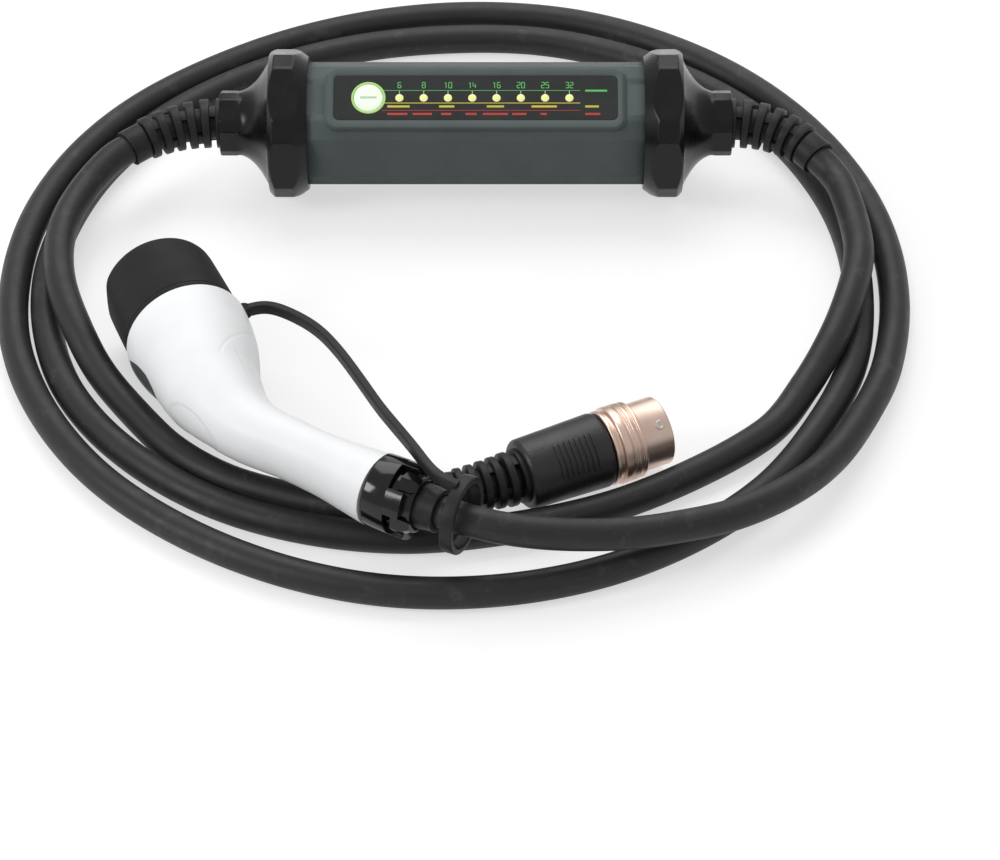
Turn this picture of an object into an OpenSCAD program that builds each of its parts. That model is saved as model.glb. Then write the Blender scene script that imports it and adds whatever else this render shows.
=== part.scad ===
// Portable vehicle charger: control box, coiled output cord with vehicle connector, short supply lead.
// X runs along the control box, Y away from the display side, Z up; the floor is z = 0.

/* [Control box] */
// Length of grey body seen between the two end collars
body_len = 191; // [160:1:260]
// Distance from the axis to the six broad faces of the body
body_flat = 33.7; // [30:0.1:45]
// Distance from the axis to the six narrow corner faces of the body
body_corner = 35.7; // [32:0.1:48]
// Wall of the body tube
body_wall = 2.6; // [2:0.1:4]
// Height of each end collar above the broad faces
collar_rise = 7; // [5:0.1:9]
// Length of each end collar
collar_len = 22.2; // [18:0.1:30]
// Length of the concave flare behind a collar
flare_len = 18.8; // [12:0.1:30]
// Length of the neck behind the flare
neck_len = 9.5; // [6:0.5:16]
// Distance from the axis to the broad faces of the neck
neck_flat = 18; // [15:0.1:22]

/* [Display] */
// Length of the raised display pad
pad_len = 171; // [150:1:180]
// Width of the raised display pad
pad_wide = 37; // [34:0.5:38]
// Height of the pad above the body face
pad_rise = 2; // [1.6:0.1:4]
// Rim of the pad past each end of the overlay
rim_end = 5.5; // [2:0.5:12]
// Rim of the pad along each side of the overlay
rim_side = 5; // [3:0.5:6]
// Thickness of the dark overlay
overlay_thick = 0.8; // [0.6:0.1:1]
// Diameter of the select button
button_dia = 16.4; // [12:0.1:18]
// Distance of the button from the left end of the pad
button_inset = 25; // [22:0.5:28]
// Travel of the select button
button_travel = 0.8; // [0.4:0.1:1]
// Diameter of one status lens
lens_dia = 4.6; // [3:0.1:6]
// Spacing of the status lenses
lens_pitch = 13.7; // [12:0.1:14]
// Distance of the first status lens from the left end of the pad
lens_inset = 42.5; // [40:0.5:48]

/* [Cords] */
// Outside diameter of both cords
cord_dia = 17; // [14:0.5:18]
// Length of the moulded bend relief on the control box
relief_len = 56; // [48:1:64]
// Turn of the left bend relief
relief_turn_left = 38; // [20:1:45]
// Turn of the right bend relief
relief_turn_right = 52; // [30:1:60]

/* [Vehicle connector] */
// Radius of the contact nose under the dust cap
nose_r = 27.4; // [25:0.1:28]
// Distance from the nose axis to its flat
nose_flat = 24.5; // [22:0.1:26]
// Length of the nose ahead of the shoulder
nose_len = 46; // [40:1:50]
// Length of the dust cap
cap_len = 52; // [50:1:60]
// Wall of the connector shell halves
shell_wall = 3; // [2:0.1:4]
// Radius of the gland nut
nut_r = 20; // [18:0.5:22]
// Length of the gland nut without its claws
nut_len = 20; // [16:1:26]

/* [Supply plug] */
// Radius of the plug body at the back
plug_back_r = 19; // [17:0.1:20]
// Radius of the plug body at the front
plug_front_r = 20.3; // [18:0.1:20.5]
// Length of the plug body
plug_len = 48; // [40:1:60]
// Radius of the ridged part of the coupling ring
ring_r = 21; // [20.6:0.1:22]
// Length of the coupling ring
ring_len = 32; // [26:0.5:34]

/* [Fits] */
// Gap between faces of pieces that move against each other
slip = 0.3; // [0.2:0.05:0.5]
// Radial running clearance of the coupling ring
run_fit = 0.05; // [0.02:0.01:0.1]
// Radial clearance of the body tube in its end collars
socket_fit = 0.15; // [0.1:0.05:0.4]

/* [Hidden] */
$fn = 64;
collar_flat = body_flat + collar_rise;
collar_corner = body_corner + collar_rise + 0.6;
axis_h = collar_corner;
socket_in = 14;
seal_thick = 1.5;
tube_len = body_len + 2 * socket_in;
neck_corner = neck_flat + 0.9;
neck_end = body_len / 2 + collar_len + flare_len + neck_len;
overlay_len = pad_len - 2 * rim_end;
overlay_wide = pad_wide - 2 * rim_side;
button_x = -pad_len / 2 + button_inset;
lens_x = -pad_len / 2 + lens_inset;
window_inset = 10;
window_len = pad_len - 2 * window_inset;
window_wide = 19;
post_inset = 15;
overlay_top = pad_rise - 0.1;
overlay_low = overlay_top - overlay_thick;
button_r = button_dia / 2;
ring_in_r = button_r + slip;
ring_out_r = button_r + 1.5;
board_top = -7.5;
board_thick = 1.6;
main_z = -8;
main_inset = 12;
main_len = body_len - 2 * main_inset;
// Five blocks in a row on the control board, with a margin at its ends and a gap between them
block_edge = 4;
block_gap = 5;
block_len = (main_len - 2 * block_edge - 4 * block_gap) / 5;
block_pitch = block_len + block_gap;
relay_box = [block_len, 24, 18];
relay_first = -main_len / 2 + block_edge + block_len / 2;
coil_at = relay_first + 3 * block_pitch;
coil_r = min(14, block_len / 2);
supply_box = [block_len, 26, 15];
supply_at = relay_first + 4 * block_pitch - block_len / 2;
grip_len = 10;
grip_r = 15;
cord_r = cord_dia / 2;
relief_start_r = 14.2;
sleeve_r = cord_r + 2.1;
sleeve_len = 12;
// Lean of each bend plane below the horizontal
lean_left = 18;
lean_right = 20;
// Vehicle connector place: middle of the shoulder, heading and dip of the nose
conn_at = [-155.1, -181.1, 34.8];
conn_yaw = 111.8;
conn_dip = 2;
// Axis of the shell as [x, y, half width, half height] behind the shoulder
stations = [
    [0, 0, 34, 34], [-7.7, 0.1, 33.9, 33.9], [-15.5, 0, 33.1, 33.1], [-24.2, 0.1, 31.7, 31.7],
    [-32.9, 0.8, 30, 30], [-41.6, 1.7, 28.3, 28.3], [-50.3, 2.1, 26.6, 26.1], [-59, 1.5, 24.9, 23.9],
    [-67.7, 0.4, 22.9, 21.7], [-76.4, -1.3, 20.8, 19.6], [-85.1, -3.9, 19, 18.1], [-93.8, -7.7, 17.6, 17.3],
    [-102.5, -13, 16.4, 16.9], [-112.2, -19.8, 15.6, 16.9], [-123.8, -27, 15.3, 16.9],
    [-136.3, -35.1, 16, 17.5], [-148.9, -43, 17.7, 18.5], [-160.5, -50.7, 19.6, 19.6]
];
gland_turn = 39;
tail = stations[len(stations) - 1];
claw_len = 7;
tab_at = nut_len - 6.8;
tab_len = 9.2;
bush_r = 12.5;
bush_end = nut_len + claw_len + 10;
cap_back_r = 32.8;
cap_front_r = 31.7;
cap_in_r = nose_r + slip;
// Reach and height of the tether lug on the cap
lug_out = 38;
lug_at = 3;
// Supply plug place: middle of the back face of its body
plug_at = [24.2, -278.9, 21.3];
plug_yaw = 26.3;
plug_relief_len = 39.5;
plug_relief_turn = 14;
barrel_r = 15.6;
insert_r = 14;
flange_len = 2.2;
ring_at = plug_len + flange_len + slip;

// Whole parts by name

// Unit direction at a heading in the floor plane
function heading(a) = [cos(a), sin(a), 0];

// Point of a bend that starts along x and turns in a plane leaning below the horizontal
function bend_at(length, turn, lean, side) =
    let (r = length / (turn * PI / 180), drop = r * (1 - cos(turn)))
    [side * r * sin(turn), -drop * cos(lean), -drop * sin(lean)];

// Direction in which such a bend ends
function bend_out(turn, lean, side) = [side * cos(turn), -sin(turn) * cos(lean), -sin(turn) * sin(lean)];

// Connector frame to part frame
function conn_turn(p) =
    let (x = p[0] * cos(conn_dip) + p[2] * sin(conn_dip), z = p[2] * cos(conn_dip) - p[0] * sin(conn_dip))
    [x * cos(conn_yaw) - p[1] * sin(conn_yaw), x * sin(conn_yaw) + p[1] * cos(conn_yaw), z];
function conn_point(p) = conn_at + conn_turn(p);

// Where the cords leave their reliefs
exit_right = [neck_end, 0, axis_h] + bend_at(relief_len, relief_turn_right, lean_right, 1);
exit_left = [-neck_end, 0, axis_h] + bend_at(relief_len, relief_turn_left, lean_left, -1);
way_right = bend_out(relief_turn_right, lean_right, 1);
way_left = bend_out(relief_turn_left, lean_left, -1);
gland_way = conn_turn(-heading(gland_turn));
exit_gland = conn_point([tail[0], tail[1], 0]) + bush_end * gland_way;
plug_bend_r = plug_relief_len / (plug_relief_turn * PI / 180);
exit_plug = plug_at - plug_bend_r * sin(plug_relief_turn) * heading(plug_yaw)
    + plug_bend_r * (1 - cos(plug_relief_turn)) * heading(plug_yaw + 90);
plug_way = -heading(plug_yaw - plug_relief_turn);

// Route of the output cord between its two exits
output_route = concat([exit_right, exit_right + 12 * way_right], [
    [208, -46, 30], [213, -76, 27], [213, -104, 27], [206, -136, 26], [195, -166, 21], [179, -195, 12],
    [157.5, -228.6, 8.5], [119.2, -261, 8.5], [71.2, -289.2, 8.5], [18, -306, 8.5], [-38, -313, 8.5],
    [-94, -304, 8.5], [-144, -281, 8.5], [-188, -243, 8.5], [-219, -197, 8.5], [-235, -146, 8.5],
    [-239, -92, 8.5], [-229, -36, 8.5], [-207, 16, 8.5], [-172, 62, 8.5], [-126, 98, 8.5],
    [-74, 121, 8.5], [-18, 131, 8.5], [38, 129, 8.5], [90, 111, 8.5], [136, 80, 8.5], [172, 40, 8.5],
    [198, -13, 8.5], [211, -66, 8.5], [213, -120, 8.5], [205, -176, 8.5], [183, -229, 8.5],
    [154, -275, 8.5], [114, -312, 8.5], [66, -339, 8.5], [12, -353, 8.5], [-44, -353, 8.5],
    [-98, -338, 8.5], [-150, -309, 8.5], [-196, -268, 8.5], [-230, -217, 8.5], [-251, -160, 8.5],
    [-257, -102, 8.5], [-251, -44, 8.5], [-232, 11, 8.5], [-201, 59, 8.5], [-159, 98, 8.5],
    [-110, 129, 8.5], [-56, 149, 8.5], [0, 156, 8.5], [56, 149, 8.5], [107, 127, 8.5], [152, 93, 8.5],
    [188, 49, 8.5], [215, -4, 8.5], [230, -60, 8.5], [233, -118, 8.5], [225, -174, 9.5],
    [210, -217, 12], [190, -257, 15], [166, -288, 20], [135, -313, 25], [102, -327, 28.2],
    [77, -334, 30.5], [50, -339, 34.5], [27, -340.8, 38.3], [7, -338.8, 41]
], [exit_gland + 5 * gland_way, exit_gland]);

// Route of the supply cord between its two exits
supply_route = concat([exit_left, exit_left + 12 * way_left], [
    [-221, -43, 30], [-230, -68, 27], [-232, -96, 26.5], [-228, -126, 26], [-218, -155, 21],
    [-204, -182, 12], [-184, -212, 8.7], [-160.4, -243.4, 8.5], [-132.4, -266.3, 8.5], [-101, -280.5, 8.6],
    [-74, -289.5, 9.8], [-50, -294, 13.5]
], [exit_plug + 12 * plug_way, exit_plug]);

// Route of the cap tether from the cap lug to its ring
strap_route = [
    conn_point([5.5, -lug_out - 1.4, lug_at]), [-115, -159.3, 38.2], [-105.4, -165, 40], [-94.1, -175.1, 42],
    [-82.8, -189.1, 44.5], [-71.4, -210.3, 47.5], [-59.9, -236.6, 51], [-48.7, -263.9, 55],
    [-37.8, -287.5, 59], [-29.7, -305, 62], [-22.9, -319.8, 63.5], [-17, -328.2, 63.2], [-7.9, -332.7, 61.5]
];
ring_at_cord = [-6, -332, 42];
ring_turn = [0, 90, -24];

// Prism section with six broad faces and six narrow corner faces
module chamfered_hex(flat, corner) {
    intersection() {
        rotate(30) circle(r = flat / cos(30), $fn = 6);
        circle(r = corner / cos(30), $fn = 6);
    }
}

// Extrudes a section drawn in y and z along x
module along_x(length) {
    rotate([90, 0, 90]) linear_extrude(length) children();
}

// Rounded rectangle
module slab(length, width, r) {
    square([length - 2 * r, width], center = true);
    square([length, width - 2 * r], center = true);
    for (x = [-1, 1], y = [-1, 1]) {
        translate([x * (length / 2 - r), y * (width / 2 - r)]) circle(r = r, $fn = 32);
    }
}

// Circle with one flat on its right
module d_shape(r, flat) {
    intersection() {
        circle(r = r);
        translate([-2 * r, -2 * r]) square([2 * r + flat, 4 * r]);
    }
}

// Frame on the display face of the body, z along the face normal
module on_panel() {
    translate([0, 0, axis_h]) rotate([30, 0, 0]) translate([0, 0, body_flat]) children();
}

// Round bar along x
module bar(x, length, r, r2 = -1) {
    translate([x, 0, 0]) rotate([0, 90, 0]) cylinder(h = length, r1 = r, r2 = r2 < 0 ? r : r2);
}

// Round tube along x
module pipe(x, length, r, bore) {
    difference() {
        bar(x, length, r);
        bar(x - 1, length + 2, bore);
    }
}

// Piece of a ring that bends downward from x, between two angles of the bend
module bend_piece(r_bend, from, to, r) {
    translate([0, 0, -r_bend]) rotate([0, -90, -90]) rotate([0, 0, from])
        rotate_extrude(angle = to - from) translate([r_bend, 0]) circle(r = r, $fn = 32);
}

// Frame on a downward bend at an angle
module bend_frame(r_bend, a) {
    translate([r_bend * sin(a), 0, -r_bend * (1 - cos(a))]) rotate([0, a, 0]) children();
}

// Slotted bend relief: core, stiff ribs with side windows between them, plain end sleeve
module bend_relief(length, turn, ribs, r_first, r_last, start_r, sleeve) {
    r_bend = length / (turn * PI / 180);
    per_mm = turn / length;
    pitch = (length - sleeve - 4) / ribs;
    difference() {
        union() {
            bend_piece(r_bend, 0, turn, cord_r + 0.9);
            bend_piece(r_bend, turn - sleeve * per_mm, turn, sleeve_r);
            bend_piece(r_bend, 0, 3 * per_mm, start_r);
            for (i = [0 : ribs - 1]) {
                bend_frame(r_bend, (4 + (i + 0.62) * pitch) * per_mm)
                    bar(-pitch * 0.29, pitch * 0.58, r_first + (r_last - r_first) * i / (ribs - 1));
            }
        }
        for (i = [0 : ribs - 1]) {
            bend_frame(r_bend, (4 + (i + 0.14) * pitch) * per_mm) rotate([i % 2 * 90, 0, 0])
                for (s = [-1, 1]) {
                    translate([0, s * (cord_r + 4.2), 0]) cube([pitch * 0.34, 8, 12], center = true);
                }
        }
    }
}

// Places a relief on the end of the box; side 1 is right
module box_relief(turn, lean, side) {
    mirror([side < 0 ? 1 : 0, 0, 0]) translate([neck_end, 0, axis_h]) rotate([lean - 90, 0, 0])
        bend_relief(relief_len, turn, 5, 13.8, 12.2, relief_start_r, sleeve_len);
}

// Flanged end of the box: socket collar, concave flare and neck
module end_cap() {
    start = body_len / 2;
    flare_at = start + collar_len;
    flare_r = collar_flat - 5.2;
    steps = 10;
    translate([0, 0, axis_h]) difference() {
        union() {
            intersection() {
                translate([start, 0, 0]) along_x(collar_len) chamfered_hex(collar_flat, collar_corner);
                translate([start, 0, 0]) rotate([0, 90, 0]) rotate_extrude() polygon([
                    [0, 0], [collar_flat - 0.4 * collar_rise, 0], [collar_corner + 1.4, 9.4],
                    [collar_corner + 1.4, collar_len - 4], [collar_flat - 1.6, collar_len], [0, collar_len]
                ]);
            }
            translate([flare_at - 0.5, 0, 0]) rotate([0, 90, 0]) rotate_extrude() polygon(concat(
                [[0, 0]],
                [for (i = [0 : steps])
                    [neck_flat + (flare_r - neck_flat) * pow(1 - i / steps, 2.3), 0.5 + flare_len * i / steps]],
                [[0, flare_len + 0.5]]
            ));
            translate([flare_at + flare_len - 0.5, 0, 0]) along_x(neck_len + 0.5)
                chamfered_hex(neck_flat, neck_corner);
        }
        translate([start - 1, 0, 0]) along_x(socket_in + seal_thick + 1)
            chamfered_hex(body_flat + socket_fit, body_corner + socket_fit);
        bar(start, neck_end, cord_r + 0.4);
    }
}

// Flat gasket between a body end and its collar
module cap_seal() {
    translate([tube_len / 2, 0, axis_h]) along_x(seal_thick) difference() {
        chamfered_hex(body_flat, body_corner);
        chamfered_hex(body_flat - body_wall - 2, body_corner - body_wall - 2);
    }
}

// Grey body tube with the display window and two board rails
module housing() {
    color([0.33, 0.36, 0.36]) {
        difference() {
            translate([-tube_len / 2, 0, axis_h]) along_x(tube_len) chamfered_hex(body_flat, body_corner);
            translate([-tube_len / 2 - 1, 0, axis_h]) along_x(tube_len + 2)
                chamfered_hex(body_flat - body_wall, body_corner - body_wall);
            on_panel() translate([0, 0, -body_wall - 4]) linear_extrude(body_wall + 5)
                slab(window_len, window_wide, 2);
        }
        for (s = [-1, 1]) {
            translate([0, s * (body_flat - body_wall - 1), axis_h + main_z - 1.5])
                cube([body_len - 20, 3, 3], center = true);
        }
    }
}

// Raised pad that carries the overlay, with four posts down to the display board
module display_frame() {
    color([0.35, 0.38, 0.38]) difference() {
        union() {
            difference() {
                on_panel() translate([0, 0, -5]) linear_extrude(pad_rise + 5) slab(pad_len, pad_wide, 7);
                translate([-pad_len, 0, axis_h]) along_x(2 * pad_len) chamfered_hex(body_flat, body_corner);
            }
            for (x = [-1, 1], y = [-1, 1]) {
                on_panel() translate([x * (pad_len / 2 - post_inset), y * 6.5, board_top])
                    cylinder(h = -board_top + 0.5, r = 2);
            }
        }
        on_panel() translate([0, 0, overlay_low]) linear_extrude(4)
            slab(overlay_len + 0.4, overlay_wide + 0.4, 3.2);
        on_panel() translate([button_x, 0, -3]) cylinder(h = 9, r = ring_in_r);
        for (i = [0 : 7]) {
            on_panel() translate([lens_x + i * lens_pitch, 0, -3])
                cylinder(h = 9, r = lens_dia / 2 + 0.1, $fn = 32);
        }
    }
}

// Dark front overlay with openings for the button ring and the lenses
module display_overlay() {
    color([0.17, 0.18, 0.18]) on_panel() translate([0, 0, overlay_low])
        linear_extrude(overlay_thick) difference() {
        slab(overlay_len, overlay_wide, 3);
        translate([button_x, 0]) circle(r = ring_out_r);
        for (i = [0 : 7]) {
            translate([lens_x + i * lens_pitch, 0]) circle(r = lens_dia / 2 + 0.1, $fn = 32);
        }
    }
}

// Green ring set in the overlay round the button
module button_ring() {
    color([0.25, 0.72, 0.36]) on_panel() translate([button_x, 0, overlay_low]) difference() {
        cylinder(h = overlay_thick + 0.2, r = ring_out_r);
        translate([0, 0, -1]) cylinder(h = overlay_thick + 3, r = ring_in_r);
    }
}

// White select button: cap, retaining flange under the pad and stem
module select_button() {
    color([0.93, 0.94, 0.93]) on_panel() translate([button_x, 0, 0]) {
        translate([0, 0, -1.6]) cylinder(h = overlay_top + 0.5 + 1.6, r = button_r);
        translate([0, 0, -slip - 1.3]) cylinder(h = 1.3, r = button_r + 0.9);
        translate([0, 0, board_top + 3 + button_travel + slip]) cylinder(h = 3, r = 1.8);
    }
}

// Eight status lenses standing on the display board
module led_lenses() {
    color([0.98, 0.93, 0.66]) for (i = [0 : 7]) {
        on_panel() translate([lens_x + i * lens_pitch, 0, board_top])
            cylinder(h = overlay_top + 0.15 - board_top, r = lens_dia / 2, $fn = 32);
    }
}

// Board under the display
module display_board() {
    color([0.1, 0.34, 0.2]) on_panel() translate([0, 0, board_top - board_thick]) linear_extrude(board_thick)
        slab(window_len - 2, window_wide - 1, 1);
}

// Push switch under the select button
module tact_switch() {
    color([0.12, 0.12, 0.13]) on_panel() translate([button_x, 0, board_top]) {
        translate([-3, -3, 0]) cube([6, 6, 2.4]);
        cylinder(h = 3, r = 1.7, $fn = 32);
    }
}

// Control board on the rails of the body
module main_board() {
    color([0.08, 0.3, 0.18]) translate([0, 0, axis_h + main_z + board_thick / 2])
        cube([main_len, 2 * (body_flat - body_wall) - 0.6, board_thick], center = true);
}

// Switching relays on the control board
module power_relays() {
    color([0.1, 0.1, 0.11]) for (i = [0 : 2]) {
        translate([relay_first + i * block_pitch, 0, axis_h + main_z + board_thick])
            translate([-relay_box[0] / 2, -relay_box[1] / 2, 0]) cube(relay_box);
    }
}

// Ring transformer that senses leakage current
module current_transformer() {
    color([0.85, 0.72, 0.2]) translate([coil_at, 0, axis_h + main_z + board_thick]) difference() {
        cylinder(h = coil_r - 1, r = coil_r);
        translate([0, 0, -1]) cylinder(h = coil_r + 1, r = coil_r / 2);
    }
}

// Low voltage supply block on the control board
module supply_module() {
    color([0.14, 0.14, 0.15]) translate([supply_at, -supply_box[1] / 2, axis_h + main_z + board_thick])
        cube(supply_box);
}

// Black end mouldings
module end_cap_left() {
    color([0.07, 0.07, 0.08]) mirror([1, 0, 0]) end_cap();
}

module end_cap_right() {
    color([0.07, 0.07, 0.08]) end_cap();
}

// Gaskets in the collars
module cap_seal_left() {
    color([0.2, 0.2, 0.2]) mirror([1, 0, 0]) cap_seal();
}

module cap_seal_right() {
    color([0.2, 0.2, 0.2]) cap_seal();
}

// Clamps that hold the cords behind the collars
module cord_grips() {
    color([0.3, 0.3, 0.31]) for (s = [0, 1]) {
        mirror([s, 0, 0]) translate([0, 0, axis_h])
            pipe(tube_len / 2 + seal_thick - grip_len, grip_len, grip_r, cord_r + 0.4);
    }
}

// Slotted bend reliefs of the box
module strain_relief_left() {
    color([0.09, 0.09, 0.1]) box_relief(relief_turn_left, lean_left, -1);
}

module strain_relief_right() {
    color([0.09, 0.09, 0.1]) box_relief(relief_turn_right, lean_right, 1);
}

// Frame of the vehicle connector, x along the nose
module on_connector() {
    translate(conn_at) rotate([0, conn_dip, conn_yaw]) children();
}

// Frame of the gland, x running back out of the shell
module on_gland() {
    on_connector() translate([tail[0], tail[1], 0]) rotate([0, 0, 180 + gland_turn]) children();
}

// Heading of the shell axis at a station
function axis_way(i) =
    let (a = stations[max(i - 1, 0)], b = stations[min(i + 1, len(stations) - 1)])
    i == 0 ? 180 : i == len(stations) - 1 ? 180 + gland_turn : atan2(b[1] - a[1], b[0] - a[0]);

// Half ring of a shell half at a station: outer arc, then inner arc back
function half_ring(i, side, n) =
    let (s = stations[i], w = axis_way(i), across = [sin(w), -cos(w), 0])
    [for (k = [0 : 2 * n + 1])
        let (outer = k <= n, a = 180 * (outer ? k : 2 * n + 1 - k) / n, cut = outer ? 0 : shell_wall)
        [s[0], s[1], 0] + across * (s[2] - cut) * cos(a) + [0, 0, side * (s[3] - cut) * sin(a)]];

// Triangles that join rings of m points into one closed body
function ring_faces(rings, m) = concat(
    [for (i = [0 : rings - 2], k = [0 : m - 1])
        [i * m + k, i * m + (k + 1) % m, (i + 1) * m + (k + 1) % m]],
    [for (i = [0 : rings - 2], k = [0 : m - 1])
        [i * m + k, (i + 1) * m + (k + 1) % m, (i + 1) * m + k]]
);

// Cap triangles of a half ring
function half_caps(rings, n) =
    let (m = 2 * n + 2, z = (rings - 1) * m)
    concat(
        [for (k = [0 : n - 1]) [k, m - 1 - k, k + 1]],
        [for (k = [0 : n - 1]) [k + 1, m - 1 - k, m - 2 - k]],
        [for (k = [0 : n - 1]) [z + k, z + k + 1, z + m - 1 - k]],
        [for (k = [0 : n - 1]) [z + k + 1, z + m - 2 - k, z + m - 1 - k]]
    );

// Reverses every face of a list
function flipped(faces) = [for (f = faces) [f[0], f[2], f[1]]];

// One half of the white shell
module shell_half(side) {
    n = 14;
    rings = len(stations);
    m = 2 * n + 2;
    points = [for (i = [0 : rings - 1]) each half_ring(i, side, n)];
    faces = concat(ring_faces(rings, m), half_caps(rings, n));
    polyhedron(points = points, faces = side > 0 ? flipped(faces) : faces);
}

// White shell halves, parted in the plane of the bend
module connector_shell_upper() {
    color([0.93, 0.94, 0.94]) on_connector() shell_half(1);
}

module connector_shell_lower() {
    color([0.93, 0.94, 0.94]) on_connector() shell_half(-1);
}

// Places of the two rows of power contacts and the two pilot contacts
power_at = [[0, 0], [-8, 13.5], [-8, -13.5], [-16.5, 7.2], [-16.5, -7.2]];
signal_at = [[9.5, 9.5], [9.5, -9.5]];

// Contact nose with its shroud and base disc
module connector_nose() {
    color([0.1, 0.1, 0.11]) on_connector() difference() {
        union() {
            along_x(nose_len) d_shape(nose_r, nose_flat);
            bar(-12.5, 12.5, 29.6);
        }
        translate([nose_len - 6, 0, 0]) along_x(7) d_shape(nose_r - 2.6, nose_flat - 2.6);
        for (p = power_at) {
            translate([-15, p[0], p[1]]) bar(0, nose_len + 20, 3.6);
        }
        for (p = signal_at) {
            translate([-15, p[0], p[1]]) bar(0, nose_len + 20, 2.4);
        }
    }
}

// Power contact sleeves in the nose
module power_contacts() {
    color([0.78, 0.76, 0.7]) on_connector() for (p = power_at) {
        translate([0, p[0], p[1]]) pipe(-12, nose_len - 2, 3.6, 2.9);
    }
}

// Pilot contact sleeves in the nose
module signal_contacts() {
    color([0.78, 0.76, 0.7]) on_connector() for (p = signal_at) {
        translate([0, p[0], p[1]]) pipe(-12, nose_len - 2, 2.4, 1.8);
    }
}

// Gasket on the shoulder behind the dust cap
module nose_seal() {
    color([0.15, 0.15, 0.16]) on_connector() along_x(1.2) difference() {
        circle(r = 31);
        d_shape(nose_r, nose_flat);
    }
}

// Rubber dust cap with its flat on the left
module dust_cap() {
    color([0.1, 0.1, 0.11]) on_connector() difference() {
        union() {
            bar(1.2 + slip, cap_len - 5.2 - slip, cap_back_r, cap_front_r + 0.3);
            bar(cap_len - 4, 4, cap_front_r + 0.3, cap_front_r - 3);
            translate([2, -lug_out, lug_at - 3.5]) cube([7, lug_out - nose_r - 2, 7]);
        }
        translate([cap_len, 29.6, -50]) rotate([0, 0, 5]) translate([-2 * cap_len, 0, 0])
            cube([4 * cap_len, cap_len, 100]);
        translate([-1, 0, 0]) along_x(nose_len + slip + 1) d_shape(cap_in_r, nose_flat + slip);
    }
}

// Tube with n sides along a list of points
function tube_ring(pts, i, wide, high, n) =
    let (a = pts[max(i - 1, 0)], b = pts[min(i + 1, len(pts) - 1)], t = (b - a) / norm(b - a),
        s = cross(t, [0, 0, 1]) / norm(cross(t, [0, 0, 1])), u = cross(s, t))
    [for (k = [0 : n - 1]) let (w = 360 * (k + 0.5) / n) pts[i] + s * wide * cos(w) + u * high * sin(w)];

module swept(pts, wide, high, n) {
    rings = len(pts);
    z = (rings - 1) * n;
    points = [for (i = [0 : rings - 1]) each tube_ring(pts, i, wide, high, n)];
    ends = [[for (k = [0 : n - 1]) k], [for (k = [n - 1 : -1 : 0]) z + k]];
    polyhedron(points = points, faces = concat(flipped(ring_faces(rings, n)), ends));
}

// Rubber tether of the dust cap
module cap_strap() {
    color([0.12, 0.12, 0.13]) swept(strap_route, 3, 3.8, 8);
}

// Loose ring of the tether round the output cord
module strap_ring() {
    color([0.12, 0.12, 0.13]) translate(ring_at_cord) rotate(ring_turn) rotate_extrude()
        translate([19, 0]) square([3.6, 7], center = true);
}

// Part of a ring round x between two angles counted from y toward z
module ring_part(x, length, r, bore, middle, span) {
    rotate([middle - span / 2 + 90, 0, 0]) translate([x, 0, 0]) rotate([0, 90, 0])
        rotate_extrude(angle = span) translate([bore, 0]) square([r - bore, length]);
}

// Castellated gland nut: collar, four tabs, four stepped claws behind slots, spigot in the shell
module gland_nut() {
    color([0.05, 0.05, 0.06]) on_gland() difference() {
        union() {
            bar(0, tab_at, nut_r);
            bar(0, nut_len + claw_len - 0.6, nut_r - 4.6);
            bar(-8, 8.5, 14.6);
            for (i = [0 : 3]) {
                ring_part(tab_at - 0.5, tab_len + 0.5, nut_r - 0.2, bush_r + 1, 90 * i + 59.5, 42);
                ring_part(tab_at + 3.7, 5.8, nut_r - 0.4, bush_r + 1, 90 * i + 14.5, 40);
                ring_part(tab_at + 9, nut_len + claw_len - tab_at - 9, nut_r - 2.2, bush_r + 1,
                    90 * i + 14.5, 40);
            }
        }
        bar(-9, nut_len + claw_len + 10, bush_r);
    }
}

// Rubber bush that seals the cord in the gland
module gland_bush() {
    color([0.13, 0.13, 0.14]) on_gland() bar(-6, bush_end + 6, bush_r);
}

// Frame of the supply plug, x toward the coupling
module on_plug() {
    translate(plug_at) rotate([0, 0, plug_yaw]) children();
}

// Black plug body with short grip ribs on both sides
module plug_body() {
    color([0.1, 0.1, 0.11]) on_plug() {
        difference() {
            union() {
                bar(0, 1.5, plug_back_r - 1.5, plug_back_r);
                bar(1.5, plug_len - 3.5, plug_back_r, plug_front_r);
                bar(plug_len - 2, 2, plug_front_r, plug_front_r - 1.6);
            }
            bar(6, plug_len, barrel_r - 0.6);
        }
        for (i = [0 : 7], s = [0, 180]) {
            rotate([s, 0, 0]) rotate([56, 0, 0]) rotate([0, 90, 0]) translate([0, 0, plug_len - 32 + 3 * i])
                rotate_extrude(angle = 64) translate([plug_back_r - 1, 0]) square([2.1, 1.4]);
        }
    }
}

// Slotted bend relief of the plug
module plug_relief() {
    color([0.1, 0.1, 0.11]) on_plug() rotate([0, 0, 180]) rotate([-90, 0, 0])
        bend_relief(plug_relief_len, plug_relief_turn, 5, 13.8, 12, relief_start_r, 3);
}

// Fixed metal barrel with its flange in front of the plug body
module plug_barrel() {
    color([0.76, 0.6, 0.52]) on_plug() difference() {
        union() {
            bar(plug_len, flange_len, plug_front_r);
            bar(plug_len - 10, flange_len + 24, barrel_r - 0.6);
            bar(plug_len + flange_len, 14, barrel_r);
        }
        bar(plug_len - 11, 60, insert_r);
    }
}

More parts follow.
